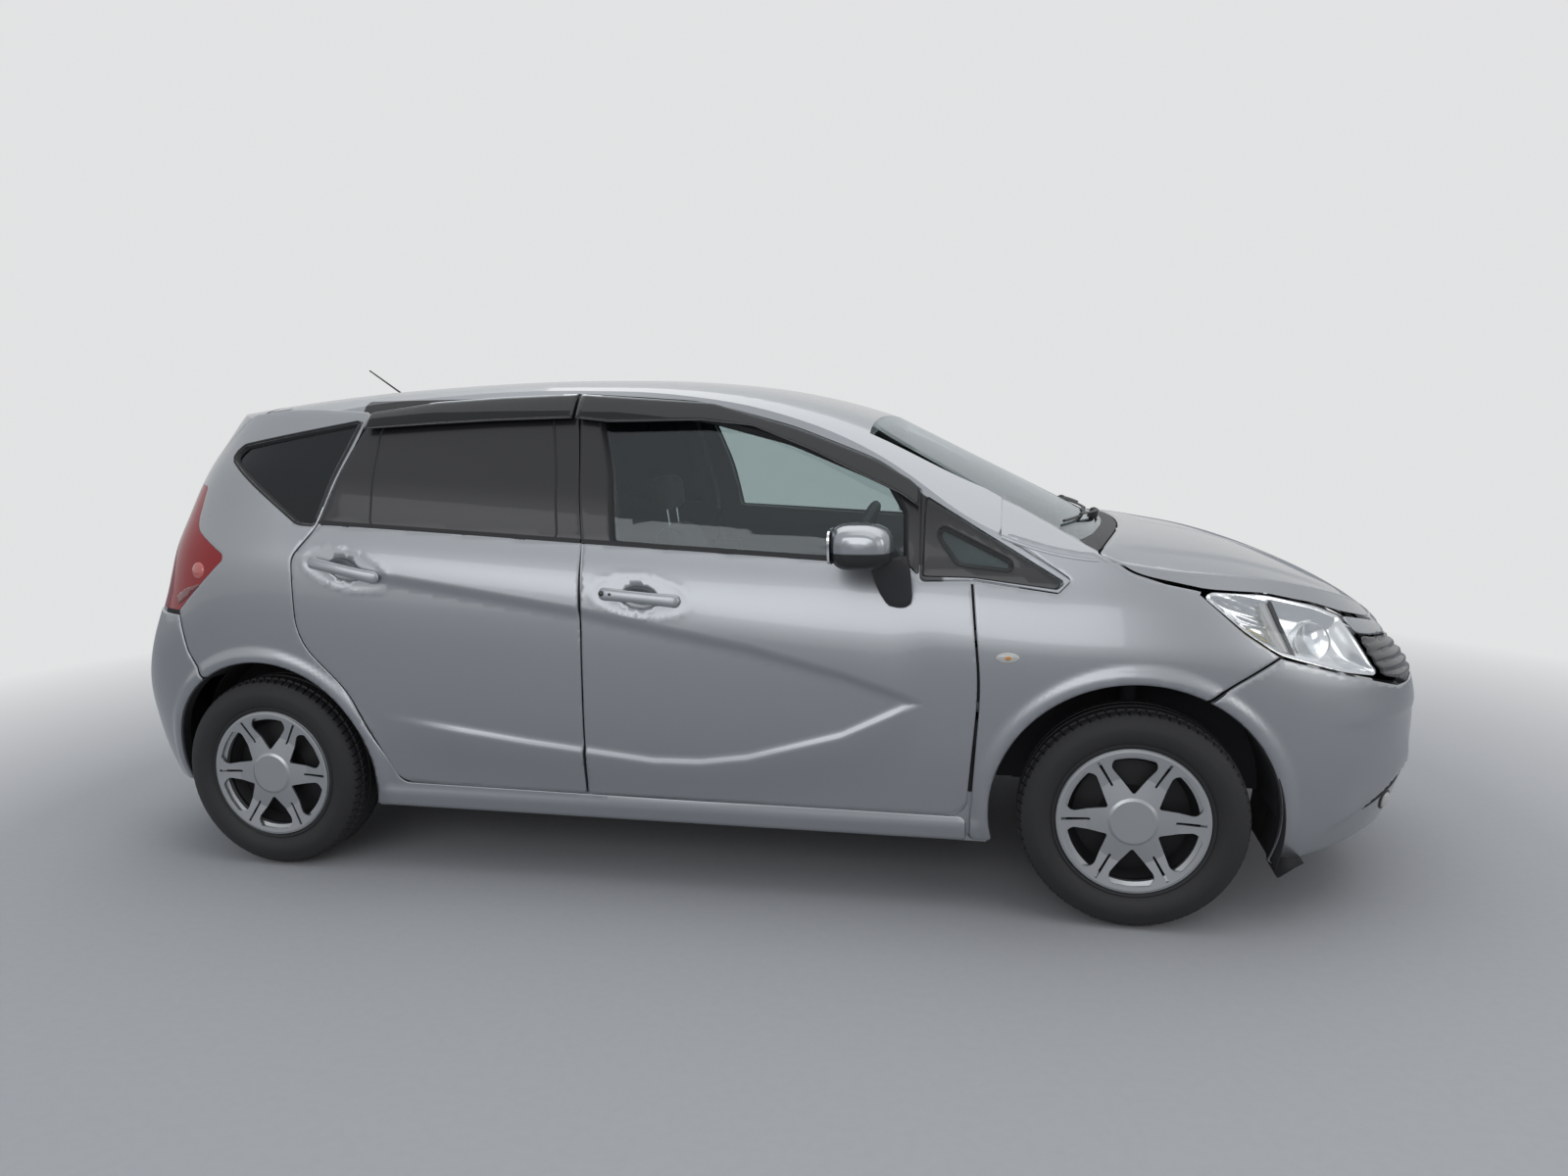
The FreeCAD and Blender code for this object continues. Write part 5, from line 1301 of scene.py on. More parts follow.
def door_handle(rear, front, name, body):
    """Bar handle bridging its bowl on two feet: stands off by 0.008 + 0.014 * sin(pi t)^0.5, ends rounded."""
    t = np.linspace(0, 1, 41)
    x, z = rear[0] + (front[0] - rear[0]) * t, rear[1] + (front[1] - rear[1]) * t
    base, normals = on_side(x, z)
    rise = 0.008 + 0.014 * np.sin(math.pi * np.clip(t, 0.02, 0.98)) ** 0.5
    half = 0.0165 + 0.0035 * np.abs(2 * t - 1) ** 3
    cap = np.sqrt(np.clip(1 - np.clip((np.abs(2 * t - 1) - 0.84) / 0.16, 0, 1) ** 2, 0.02, 1))
    path = base + normals * rise[:, None]
    across = np.cross(normals, unit(np.gradient(path, axis=0)))
    angle = turns(20)
    a, b = (signed_power(part, 0.8)[None, :, None] for part in (np.cos(angle), np.sin(angle)))
    verts = (path[:, None] + across[:, None] * (half * cap)[:, None, None] * a
             + normals[:, None] * (0.0075 * cap)[:, None, None] * b).reshape(-1, 3)
    parts = [(verts, outward(verts, tube_faces(len(t), len(angle))))]
    for share in (0.08, 0.92):
        k = int(share * (len(t) - 1))
        parts.append(swept([base[k] - normals[k] * 0.012, path[k]], [0.013, 0.0115], 14))
    bar, bar_faces = joined(parts)
    on_both_sides(name, bar, outward(bar, bar_faces), PAINT, body, "paint")


def deep_panel(outline, depth, ramp, rib, pitch, rib_end):
    """Bowl under a lens: sunk by depth * (1 - exp(-(d / ramp)^2)) at d from its edge, ribbed at the rear."""
    outer = unrolled(rounded(grown(outline, -0.001)), "side")
    verts, faces, edge = filled(outer, [], 0.006)
    points, normals = rolled(verts)
    lean = points[:, 2] + 0.30 * points[:, 0]
    ribs = rib * np.sin(2 * math.pi * lean / pitch) * smooth_step(edge, 0.004, 0.012)
    ribs *= 1 - smooth_step(points[:, 0], rib_end - 0.01, rib_end + 0.01)
    points = points - normals * (0.0015 + depth * (1 - np.exp(-(edge / ramp) ** 2)) - ribs)[:, None]
    return points, faced(points, faces, normals)


def extruded(profile, y0, y1):
    """Prism of an (x, z) outline between two widths."""
    n = len(profile)
    verts = [(x, y, z) for y in (y0, y1) for x, z in profile]
    faces = [tuple(range(n)), tuple(range(n, 2 * n))]
    faces += [(i, (i + 1) % n, (i + 1) % n + n, i + n) for i in range(n)]
    return np.array(verts), outward(verts, faces)


on_both_sides("pillar_foot_skin", *pillar_foot(), PAINT, "body", "paint")
window_seal(FRONT_WINDOW, "front_window_seal", "door_front_%")
window_seal(REAR_WINDOW, "rear_window_seal", "door_rear_%")
window_seal(QUARTER_WINDOW, "quarter_seal", "body")

visor([(-0.384, 1.462), (0.027, 1.428), (0.279, 1.352), (0.520, 1.258), (0.613, 1.205), (0.636, 1.182)],
      [(-0.384, 1.384), (-0.279, 1.371), (0.000, 1.372), (0.157, 1.354), (0.334, 1.284), (0.476, 1.214),
       (0.585, 1.164), (0.636, 1.130)], "front_visor", "door_front_%")
visor([(-1.066, 1.420), (-0.855, 1.448), (-0.640, 1.458), (-0.396, 1.463)],
      [(-1.066, 1.362), (-0.855, 1.372), (-0.640, 1.380), (-0.396, 1.384)], "rear_visor", "door_rear_%")

for end, (rear, front, _) in HANDLES.items():
    door_handle(rear, front, f"{end}_handle", f"door_{end}_%")
for x, size, base, name in ((-0.2495, 0.0075, 0.0232, "key_barrel"), (-0.2235, 0.0038, 0.0277, "key_pin")):
    on_both_sides(name, *blister(x, 0.8960 - 0.083 * (x + 0.2495), size, size, 0.0025, base, rings=6,
                                 spokes=20),
                  BLACK_TAPE, "door_front_%", "dark_plastic")
on_both_sides("side_marker", *blister(0.878, 0.745, 0.031, 0.0145, 0.006, 0.0025, 0.03),
              MARKER, "body", "lamp")
on_both_sides("marker_bulb", *blister(0.880, 0.745, 0.010, 0.0065, 0.0022, 0.0072, 0.03, rings=6, spokes=20),
              AMBER, "body", "lamp")
belt_profile = [(0.0075, 0.0005), (0.0065, 0.0045), (-0.0065, 0.0045), (-0.0075, 0.0005)]
for end, line in (("front", [(-0.326, 1.0405), (0.602, 0.9865)]),
                  ("rear", [(-1.164, 1.0925), (-0.331, 1.0410)])):
    belt = banded(*side_run(line), belt_profile)
    on_both_sides(f"{end}_belt", *belt, RUBBER, f"door_{end}_%", "dark_plastic", sharp=40)

CORNER_FRAME = [
    (0.652, 1.164, 0.008), (0.648, 0.950, 0.008), (0.786, 0.947, 0.06), (1.002, 0.919, 0.012),
    (1.024, 0.940, 0.012),
]
CORNER_PANE = [
    (0.700, 1.085, 0.022), (0.690, 1.060, 0.03), (0.745, 0.985, 0.030), (0.885, 0.970, 0.014),
    (0.885, 0.992, 0.02),
]
on_both_sides("corner_frame", *side_panel(CORNER_FRAME, [CORNER_PANE], relief=None, lift=0.002, step=0.02),
              BLACK_TAPE, "body", "dark_plastic")
window_seal(CORNER_PANE, "corner_seal", "body")

LAMP_LENS = [
    (1.370, 0.907, 0.012), (1.397, 0.9165, 0.02), (1.533, 0.905, 0.3), (1.668, 0.870, 0.3),
    (1.744, 0.836, 0.03), (1.775, 0.790, 0.1), (1.823, 0.711, 0.05), (1.850, 0.677, 0.012),
    (1.740, 0.701, 0.2), (1.648, 0.730, 0.2), (1.567, 0.755, 0.2), (1.476, 0.816, 0.2),
]
on_both_sides("headlamp_lens", *side_panel(LAMP_LENS, relief=None, lift=0.0030, inset=0.0010, step=0.016),
              CLEAR, "body", "lamp")
bowls = on_both_sides("headlamp_bowl", *deep_panel(LAMP_LENS, 0.036, 0.030, 0.0028, 0.021, 1.545),
                      CHROME, "body", "lamp")
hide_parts("headlamps")
NOSE_BAND = [
    ("side", [(1.752, 0.8335, 0.01), (1.784, 0.787, 0.03), (1.830, 0.776, 0.1)]),
    ("nose", [(-0.470, 0.7640, 0.05), (-0.4215, 0.7635, 0.02), (-0.412, 0.790, 0.02)]),
    ("side", [(1.868, 0.800, 0.05)]),
]
NOSE_SLATS = [
    ("side", [(1.787, 0.783, 0.02), (1.830, 0.711, 0.05), (1.862, 0.674, 0.01)]),
    ("nose", [(-0.500, 0.6405, 0.1), (-0.338, 0.6385, 0.04), (-0.436, 0.745, 0.03), (-0.4240, 0.7600, 0.02),
              (-0.470, 0.7600, 0.05)]),
    ("side", [(1.830, 0.772, 0.1)]),
]
SLAT_PITCH, SLAT_HEIGHT, SLAT_FOOT = 0.0245, 0.0075, 0.0028


def slat_relief(points):
    """Slats beside the grille: height * |cos(pi z / pitch)|^0.7 - foot, sloped like the grille's own."""
    place = points[:, 2] + 0.10 * points[:, 0]
    return SLAT_HEIGHT * np.abs(np.cos(math.pi * place / SLAT_PITCH)) ** 0.7 - SLAT_FOOT


on_both_sides("nose_band_skin", *end_panel(NOSE_BAND, relief=None, lift=0.0036, inset=0.0015),
              PAINT, "body", "paint")
on_both_sides("nose_slats",
              *end_panel(NOSE_SLATS, relief=slat_relief, lift=0.0036, inset=0.0015, step=0.007),
              SLATS, "body", "dark_plastic")

# Bars inside each headlamp: name, line, sunk by, half width, rise, finish and slot; they reach 24 mm down
LAMP_BARS = [
    ("lamp_divider", [(1.548, 0.896), (1.572, 0.830), (1.606, 0.750)], 0.018, 0.004, 0.012, DARK,
     "dark_plastic"),
    ("lamp_pillar", [(1.530, 0.897), (1.556, 0.830), (1.590, 0.755)], 0.016, 0.009, 0.006, MARKER, "lamp"),
]
for name, line, sunk, half, rise, material, slot in LAMP_BARS:
    profile = [(half, rise), (-half, rise), (-half, -0.024), (half, -0.024)]
    on_both_sides(name, *banded(*side_run(line, -sunk, 0.006), profile), material, "body", slot)
# Domed lamps: name, middle, half sizes, height, base and tilt, finish and slot
LAMP_DOMES = [
    ("turn_lamp", (1.516, 0.800, 0.050, 0.017, 0.010, -0.026, -0.60), OLIVE, "lamp"),
    ("main_lamp_rim", (1.672, 0.790, 0.052, 0.048, -0.020, -0.020, -0.2), CHROME, "lamp"),
    ("main_lamp_glass", (1.672, 0.790, 0.036, 0.034, 0.014, -0.036, -0.2), CLEAR, "lamp"),
    ("fog_rim", (1.906, 0.308, 0.020, 0.031, 0.0015, 0.0060), DARK, "dark_plastic"),
    ("fog_lamp", (1.906, 0.308, 0.015, 0.025, 0.007, 0.0075), MARKER, "lamp"),
]
for name, form, material, slot in LAMP_DOMES:
    on_both_sides(name, *blister(*form), material, "body", slot)

# Painted shadow: a near-black sheet under the fog lamp's brow, where the recess is in shade
FOG_PAINTED_SHADOW = [
    (1.790, 0.2935, 0.02), (1.905, 0.3690, 0.05), (1.962, 0.4030, 0.01), (1.964, 0.3700, 0.02),
    (1.925, 0.3450, 0.05), (1.860, 0.3180, 0.05),
]
on_both_sides("fog_painted_shadow", *side_panel(FOG_PAINTED_SHADOW, relief=None, lift=0.0058, inset=0.0, step=RIM_SPACING),
              BLACK_AND_SHADE, "body", "dark_plastic")
FLAP = [(1.586, 0.190), (1.591, 0.146), (1.596, 0.140), (1.603, 0.143), (1.636, 0.170), (1.660, 0.186)]
on_both_sides("deflector_flap", *extruded(FLAP, -0.738, -0.630), BLACK_AND_SHADE, "body", "dark_plastic")
LINER_RADIUS, LINER_SHEET = FRONT_ARCH_RADIUS + 0.006, 0.003
angle = np.radians(np.linspace(-18.0, 78.0, 33))
liner_arcs = ((LINER_RADIUS, angle), (LINER_RADIUS + LINER_SHEET, angle[::-1]))
liner = [(FRONT_AXLE_X + radius * math.cos(a), AXLE_Z + radius * math.sin(a))
         for radius, angles in liner_arcs for a in angles]
on_both_sides("wheelhouse_liner", *extruded(liner, -0.785, -0.400), BLACK_AND_SHADE, "body", "dark_plastic")


# Tyres

TREAD_PITCHES = 72
PITCH_STEPS = (0.0, 0.30, 0.58, 0.66, 0.78, 0.86)
GROOVES = (-0.052, -0.018, 0.018, 0.052)
GROOVE_DEPTH, SLOT_DEPTH = 0.007, 0.006


def tyre_mesh():
    """Tyre turned about Y: a rounded section with four round grooves and slots across the blocks.

    A ring point at tread place w sinks by the groove's or the slot's depth; slots lean with w. The crown is
    r - 0.0105 * |w / 0.076|^4.
    """
    half, r, bead = TYRE_WIDTH / 2, TYRE_RADIUS, RIM_RADIUS
    wall = [(bead - 0.0015, 0.0735), (bead + 0.004, 0.0790), (bead + 0.010, 0.0800), (bead + 0.013, 0.0775),
            (bead + 0.022, 0.0850), (bead + 0.036, 0.0905), (bead + 0.050, half), (bead + 0.062, 0.0915),
            (bead + 0.064, 0.0905), (bead + 0.066, 0.0900), (bead + 0.078, 0.0860), (bead + 0.088, 0.0795)]
    edges = [groove + d for groove in GROOVES[::-1] for d in (0.0062, 0.0040, -0.0040, -0.0062)]
    crown = [(r - 0.0105 * (abs(w) / 0.076) ** 4.0, w)
             for w in [0.0760, 0.0700, 0.0620] + edges + [-0.0620, -0.0700, -0.0760]]
    section = np.array(wall + crown + [(a, -b) for a, b in wall[::-1]])
    steps = np.arange(TREAD_PITCHES)[:, None] + np.array(PITCH_STEPS)
    angle = steps.ravel() * 2 * math.pi / TREAD_PITCHES
    rr = np.repeat(section[None, :, 0], len(angle), 0)
    yy = np.repeat(section[None, :, 1], len(angle), 0)
    tread = np.zeros(len(section), bool)
    tread[len(wall):-len(wall)] = True
    groove = np.min(np.abs(section[:, 1][:, None] - np.array(GROOVES)), axis=1) < 0.0045
    slot_row = np.tile([False, False, False, True, True, False], TREAD_PITCHES)
    land = tread & (np.abs(section[:, 1]) > 0.0245)
    rr[:, tread & groove] -= GROOVE_DEPTH
    rr -= SLOT_DEPTH * (slot_row[:, None] & (land & ~groove)[None, :])
    lean = angle[:, None] + 0.055 * np.abs(yy / 0.076) * tread[None, :]
    verts = np.stack([rr * np.sin(lean), yy, rr * np.cos(lean)], -1).reshape(-1, 3)
    return verts, outward(verts, grid_faces(len(angle), len(section), wrap_rows=True, wrap_columns=True))


tyre_verts, tyre_faces = tyre_mesh()
for end, axle_x, track in (("front", FRONT_AXLE_X, TRACK_FRONT), ("rear", REAR_AXLE_X, TRACK_REAR)):
    for side, sign in (("right", -1), ("left", 1)):
        shell = make_object(f"tread_{end}_{side}",
                            tyre_verts + np.array([axle_x, sign * track / 2, AXLE_Z]), tyre_faces,
                            TYRE, f"wheel_{end}_{side}", "tyre", sharp=38)
        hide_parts(f"tyre_{end}_{side}")


# Plates

PLATE_HALF, PLATE_SHEET = 0.165, 0.0035


def plate(view, z0, z1, out):
    """Blank plate on the nose or tail: a thin board that leans with the surface, on a smaller pad."""
    sign, middle = 1 if view == "nose" else -1, (z0 + z1) / 2
    x, top_x, low_x = (on_side([0.0], [z], 0.0, view)[0][0, 0] for z in (middle, z1, z0))
    loop = rounded([(-PLATE_HALF, z0, 0.012), (PLATE_HALF, z0, 0.012), (PLATE_HALF, z1, 0.012),
                    (-PLATE_HALF, z1, 0.012)], 0.006)
    lean = (top_x - low_x) / (z1 - z0)
    front = np.column_stack([x + lean * (loop[:, 1] - middle) + sign * out, loop])
    pad = (front - [sign * out, 0, 0] - [0, 0, middle]) * [1, 0.6, 0.6] + [0, 0, middle]
    verts = np.concatenate([front, front - [sign * PLATE_SHEET, 0, 0], pad])
    return verts, outward(verts, tube_faces(3, len(loop)))


make_object("front_plate", *plate("nose", 0.500, 0.612, 0.016), PLATE, "body", "paint", sharp=30)
make_object("rear_plate", *plate("tail", 0.840, 1.005, 0.014), PLATE, "tailgate", "paint", sharp=30)


# Rear quarter, tail lamps, wipers

pillar_profile = [(0.0075, 0.0), (0.0070, 0.0016), (-0.0070, 0.0016), (-0.0075, 0.0)]
pillar_run = side_run([(-1.0945, 1.394), (-1.1330, 1.260), (-1.1825, 1.094)], 0.0012)
on_both_sides("quarter_pillar", *banded(*pillar_run, pillar_profile), BLACK_TAPE, "body", "dark_plastic")
PALE_RED = finish_material("pale_red_lens", (0.62, 0.14, 0.12), 0.08, fine=80.0, bump=0.4, Coat_Weight=1.0)
SMOKED_RED = finish_material("smoked_red_lens", (0.20, 0.02, 0.025), 0.08, fine=80.0, bump=0.4,
                             Coat_Weight=1.0)
TAIL_FOOT = [
    (-1.560, 0.915, 0.004), (-1.652, 0.852, 0.01), (-1.700, 0.824, 0.006), (-1.712, 0.860, 0.01),
    (-1.660, 0.888, 0.01),
]
on_both_sides("tail_lens", *blister(-1.600, 0.944, 0.027, 0.025, 0.006, 0.0005),
              PALE_RED, "body", "tail_lamp")
on_both_sides("tail_foot_lens", *side_panel(TAIL_FOOT, relief=None, lift=0.0022, step=0.01),
              SMOKED_RED, "body", "tail_lamp")


def screen_point(x, y, out=0.0):
    """Point over the windscreen, moved out along its normal."""
    return np.column_stack(np.broadcast_arrays(x + 0.456 * out, y, screen_height(x, y) + 0.89 * out))


def screen_foot(y):
    """Length at which the windscreen ends: 1.150 - 0.125 * (y / half)^2."""
    return 1.150 - 0.125 * (y / SCREEN_HALF) ** 2


def wiper(name, y0, y1, back):
    """Windscreen wiper parked along the foot of the glass: pivot cap, tapering arm and a thin blade."""
    y = np.linspace(y0, y1, 30)
    blade = swept(screen_point(screen_foot(y) - back, y, 0.0075), 0.0042, 8)
    y = np.linspace(y0, y0 + 0.62 * (y1 - y0), 20)
    t = np.linspace(0, 1, 20)
    arm = swept(screen_point(screen_foot(y) - back * t, y, 0.020 - 0.006 * t), 0.0085 - 0.004 * t, 10,
                flat=0.55)
    base = screen_point(screen_foot(np.array([y0])), np.array([y0]))[0]
    cap = swept([base + [0, 0, rise] for rise in (-0.03, 0.014, 0.024, 0.027)],
                [0.014, 0.014, 0.011, 0.003], 16, up=(1.0, 0, 0))
    verts, faces = joined([blade, arm, cap])
    make_object(name, verts, outward(verts, faces), DARK, "body", "dark_plastic", sharp=40)


def rear_wiper():
    """Wiper parked level on the tailgate's pane: foot, tapering arm and blade."""
    y = np.linspace(0.0, -0.30, 20)
    blade, _ = on_side(y, 1.150, 0.010, "tail")
    arm, _ = on_side(y[:12], np.linspace(1.098, 1.150, 12), np.linspace(0.024, 0.018, 12), "tail")
    foot, _ = on_side([0.0, 0.0], 1.098, [-0.01, 0.028], "tail")
    verts, faces = joined([swept(blade, 0.0042, 8), swept(arm, np.linspace(0.010, 0.005, 12), 10, flat=0.5),
                           swept(foot, [0.020, 0.017], 16, up=(0.0, 1.0, 0.0))])
    make_object("rear_wiper", verts, outward(verts, faces), DARK, "tailgate", "dark_plastic", sharp=40)


wiper("driver_wiper", 0.02, -0.60, 0.040)
wiper("passenger_wiper", 0.58, 0.06, 0.030)
rear_wiper()


# Door mirrors

MIRROR_X, MIRROR_Z = 0.503, 1.046


def mirror_housing():
    """Housing lofted outwards: x = a * cos^(2/n), z = b * sin^(2/n), fuller behind, its size a list in y."""
    y = np.array([-0.826, -0.832, -0.850, -0.880, -0.920, -0.955, -0.980, -0.992, -0.997])
    size = np.array([0.30, 0.56, 0.82, 0.96, 1.0, 0.94, 0.78, 0.55, 0.22])
    at = np.linspace(0, 1, 33)
    ys, sizes = (np.interp(at, np.linspace(0, 1, len(y)), values)[:, None] for values in (y, size))
    angle = turns(48)
    across, rise = np.cos(angle), np.sin(angle)
    x = MIRROR_X + 0.083 * sizes * signed_power(across, np.where(across < 0, 2 / 4.2, 2 / 2.3))
    z = MIRROR_Z + 0.062 * sizes * signed_power(rise, 2 / 2.9)
    verts = np.stack([x, np.broadcast_to(ys, x.shape), z], -1).reshape(-1, 3)
    return verts, outward(verts, tube_faces(len(at), len(angle)))


def mirror_glass(rows=11, columns=15):
    """Slightly domed pane: a square of side 2 drawn in to |y|^4 + |z|^4 = r^4, with a back 6 mm ahead."""
    y, z = np.meshgrid(np.linspace(-1, 1, columns), np.linspace(-1, 1, rows))
    radius = np.maximum(np.abs(y), np.abs(z))
    scale = radius / np.maximum((np.abs(y) ** 4 + np.abs(z) ** 4) ** 0.25, TINY)
    pane = np.stack([0.4185 - 0.0020 * (1 - radius ** 2), -0.912 + 0.060 * y * scale,
                     MIRROR_Z + 0.046 * z * scale], -1).reshape(-1, 3)
    verts = np.concatenate([pane, pane + [0.006, 0.0, 0.0]])
    return verts, outward(verts, sheet_faces(rows, columns))


shells = on_both_sides("mirror_shell", *mirror_housing(), MIRROR_SHELL, "door_front_%", "paint")
for shell, side in zip(shells, ("right", "left")):
    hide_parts(f"mirror_{side}")
stalk = swept([(0.566, -0.868, 1.005), (0.570, -0.866, 0.985), (0.575, -0.852, 0.955), (0.583, -0.840, 0.920),
               (0.590, -0.834, 0.895), (0.592, -0.832, 0.882), (0.592, -0.830, 0.876)],
              [0.050, 0.052, 0.050, 0.044, 0.037, 0.031, 0.020], 24, flat=0.42, up=(0.0, 1.0, 0.0))
on_both_sides("mirror_stalk", stalk[0], outward(*stalk), DARK, "door_front_%", "dark_plastic", sharp=60)
MIRROR_SILVER = finish_material("mirror_silver", (0.80, 0.82, 0.83), 0.05, metallic=1.0, spread=0.01)
on_both_sides("mirror_glass", *mirror_glass(), MIRROR_SILVER, "door_front_%", "glass", sharp=40)


# Door linings

LINING_FACE = -0.099


def lining_piece(name, line, half, depth, material, body, slot):
    """Bar along the inner face of a door, half high each way, standing in by the depth, corners rounded."""
    corner = 0.35 * half
    inner = LINING_FACE - depth
    profile = [(half, LINING_FACE), (half - 0.001, inner + corner), (half - corner, inner),
               (corner - half, inner), (0.001 - half, inner + corner), (-half, LINING_FACE)]
    points, normals = side_run(line)
    on_both_sides(name, *banded(points, normals, profile), material, body, slot, sharp=50)


for end, x, z in (("front", -0.230, 0.700), ("rear", -0.930, 0.725)):
    door = f"door_{end}_%"
    lining_piece(f"{end}_armrest", [(x, z - 0.006), (x + 0.24, z), (x + 0.44, z + 0.028)], 0.024, 0.060, DASH,
                 door, "dark_plastic")
    lining_piece(f"{end}_inner_handle", [(x + 0.40, z + 0.110), (x + 0.49, z + 0.112)], 0.009, 0.016,
                 CHROME, door, "wheel_silver")
lining_piece("front_door_pocket", [(-0.250, 0.425), (0.380, 0.430)], 0.060, 0.034, DARK, "door_front_%",
             "dark_plastic")


# Seats

SEAT_Y = 0.370
PADS = {
    "front_cushion": ([(-0.320, 0.338, 0.035), (0.145, 0.338, 0.050), (0.172, 0.468, 0.055),
                       (-0.300, 0.430, 0.030)],
                      -SEAT_Y, 0.242, (0.0, 0.024), 0.012),
    "front_backrest": ([(-0.322, 0.448, 0.040), (-0.214, 0.455, 0.040), (-0.368, 1.000, 0.050),
                        (-0.462, 1.000, 0.050)],
                       -SEAT_Y, 0.232, (0.026, 0.0), 0.012),
    "front_headrest": ([(-0.464, 1.048, 0.028), (-0.398, 1.048, 0.028), (-0.406, 1.180, 0.035),
                        (-0.484, 1.180, 0.035)],
                       -SEAT_Y, 0.122, (0.0, 0.0), 0.008),
    "rear_bench": ([(-1.040, 0.398, 0.030), (-0.655, 0.398, 0.040), (-0.606, 0.486, 0.045),
                    (-1.040, 0.468, 0.030)],
                   0.0, 0.552, (0.0, 0.010), 0.015),
    "rear_backrest": ([(-1.100, 0.404, 0.030), (-1.014, 0.480, 0.040), (-1.138, 0.950, 0.045),
                       (-1.212, 0.950, 0.040)],
                      0.0, 0.552, (0.010, 0.0), 0.015),
    "rear_headrest": ([(-1.220, 0.964, 0.022), (-1.160, 0.964, 0.022), (-1.168, 1.080, 0.028),
                       (-1.228, 1.080, 0.028)],
                      -0.330, 0.112, (0.0, 0.0), 0.008),
}
SWELL_FRAMES, SWELL_CAP = 20, 0.011
SEAM_SHARE, SEAM_DEPTH, SEAM_WIDTH = 0.62, 0.0045, 0.006


def pad_form(profile, middle, half, bolster):
    """Closed pad: the (x, z) outline scaled by (1 - |y/half|^5)^(1/5) across, its bolsters pushed out."""
    rim = rounded(profile, 0.01)
    loop = even_points(np.concatenate([rim, rim[:1]]), 65)[:-1]
    centre = loop.mean(0)
    share = np.sin(np.linspace(-0.497, 0.497, 41) * math.pi)
    scale = (1 - np.abs(share) ** 5) ** 0.2
    section = centre + (loop - centre) * scale[:, None, None]
    push = smooth_step(np.abs(share), 0.52, 0.80)[:, None] * scale[:, None]
    size = loop.max(0) - loop.min(0)
    for axis in (0, 1):
        ahead = np.clip((section[..., axis] - centre[axis]) / (size[axis] / 2), 0, 1)
        section[..., axis] += bolster[axis] * push * ahead
    y = np.broadcast_to((middle + half * share)[:, None], section.shape[:2])
    verts = np.stack([section[..., 0], y, section[..., 1]], -1).reshape(-1, 3)
    return verts, outward(verts, tube_faces(len(share), len(loop)))


def settled(obj):
    """The object's mesh with its modifiers applied, which are then taken off."""
    evaluated = obj.evaluated_get(bpy.context.evaluated_depsgraph_get())
    mesh = bpy.data.meshes.new_from_object(evaluated)
    obj.modifiers.clear()
    obj.data = mesh
    return obj


def coordinates(mesh):
    """Vertex coordinates as an array."""
    values = np.empty(len(mesh.vertices) * 3)
    mesh.vertices.foreach_get("co", values)
    return values.reshape(-1, 3)


def swollen(pads):
    """Cloth pads blown up by inner pressure; no point may move further than the cap."""
    starts = {name: coordinates(pad.data) for name, pad in pads.items()}
    for pad in pads.values():
        cloth = pad.modifiers.new("fill", "CLOTH")
        cloth.settings.quality = 5
        cloth.settings.use_pressure = True
        cloth.settings.uniform_pressure_force = 4.0
        cloth.settings.effector_weights.gravity = 0.0
        cloth.point_cache.frame_start = 1
        cloth.point_cache.frame_end = SWELL_FRAMES
    for step in range(1, SWELL_FRAMES + 1):
        bpy.context.scene.frame_set(step)
    graph = bpy.context.evaluated_depsgraph_get()
    ends = {name: coordinates(pad.evaluated_get(graph).data) for name, pad in pads.items()}
    for name, pad in pads.items():
        move = ends[name] - starts[name]
        length = np.maximum(np.linalg.norm(move, axis=1, keepdims=True), 1e-9)
        pad.modifiers.clear()
        pad.data.vertices.foreach_set("co", (starts[name] + move * np.minimum(1, SWELL_CAP / length)).ravel())
        pad.data.update()
    bpy.context.scene.frame_set(1)


def sewn(mesh, middle, half):
    """Seams pressed in on both sides of the pad's middle: depth * exp(-(d / width)^2) at a distance d."""
    points = coordinates(mesh)
    normals = np.empty(len(points) * 3)
    mesh.vertices.foreach_get("normal", normals)
    distance = np.abs(np.abs(points[:, 1] - middle) - SEAM_SHARE * half)
    points -= normals.reshape(-1, 3) * (SEAM_DEPTH * np.exp(-(distance / SEAM_WIDTH) ** 2))[:, None]
    mesh.vertices.foreach_set("co", points.ravel())
    mesh.update()


def seat_pads():
    """All pads: formed, remeshed, swollen, smoothed, sewn, and copied to their places."""
    pads = {}
    for name, (profile, middle, half, bolster, voxel) in PADS.items():
        pad = make_object(name, *pad_form(profile, middle, half, bolster), CLOTH, "body", "upholstery")
        grid = pad.modifiers.new("grid", "REMESH")
        grid.mode = "VOXEL"
        grid.voxel_size = voxel
        grid.use_smooth_shade = True
        pads[name] = settled(pad)
    swollen(pads)
    for name, pad in pads.items():
        smooth = pad.modifiers.new("smooth", "SUBSURF")
        smooth.levels = smooth.render_levels = 1
        settled(pad)
        if "headrest" not in name:
            sewn(pad.data, PADS[name][1], PADS[name][2])
        pad.data.materials.clear()
        pad.data.materials.append(CLOTH)
    for name, shift in (("front_cushion", 2 * SEAT_Y), ("front_backrest", 2 * SEAT_Y),
                        ("front_headrest", 2 * SEAT_Y), ("rear_headrest", 0.660)):
        source = pads[name]
        source.name = name + "_right"
        mesh = source.data.copy()
        mesh.vertices.foreach_set("co", (coordinates(mesh) + np.array([0.0, shift, 0.0])).ravel())
        mesh.update()
        copy = bpy.data.objects.new(name + "_left", mesh)
        bpy.context.scene.collection.objects.link(copy)
        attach(copy, "body")
        pads[name + "_left"] = copy
    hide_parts("front_seat_right")
    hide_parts("front_seat_left")
    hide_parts("rear_seat")


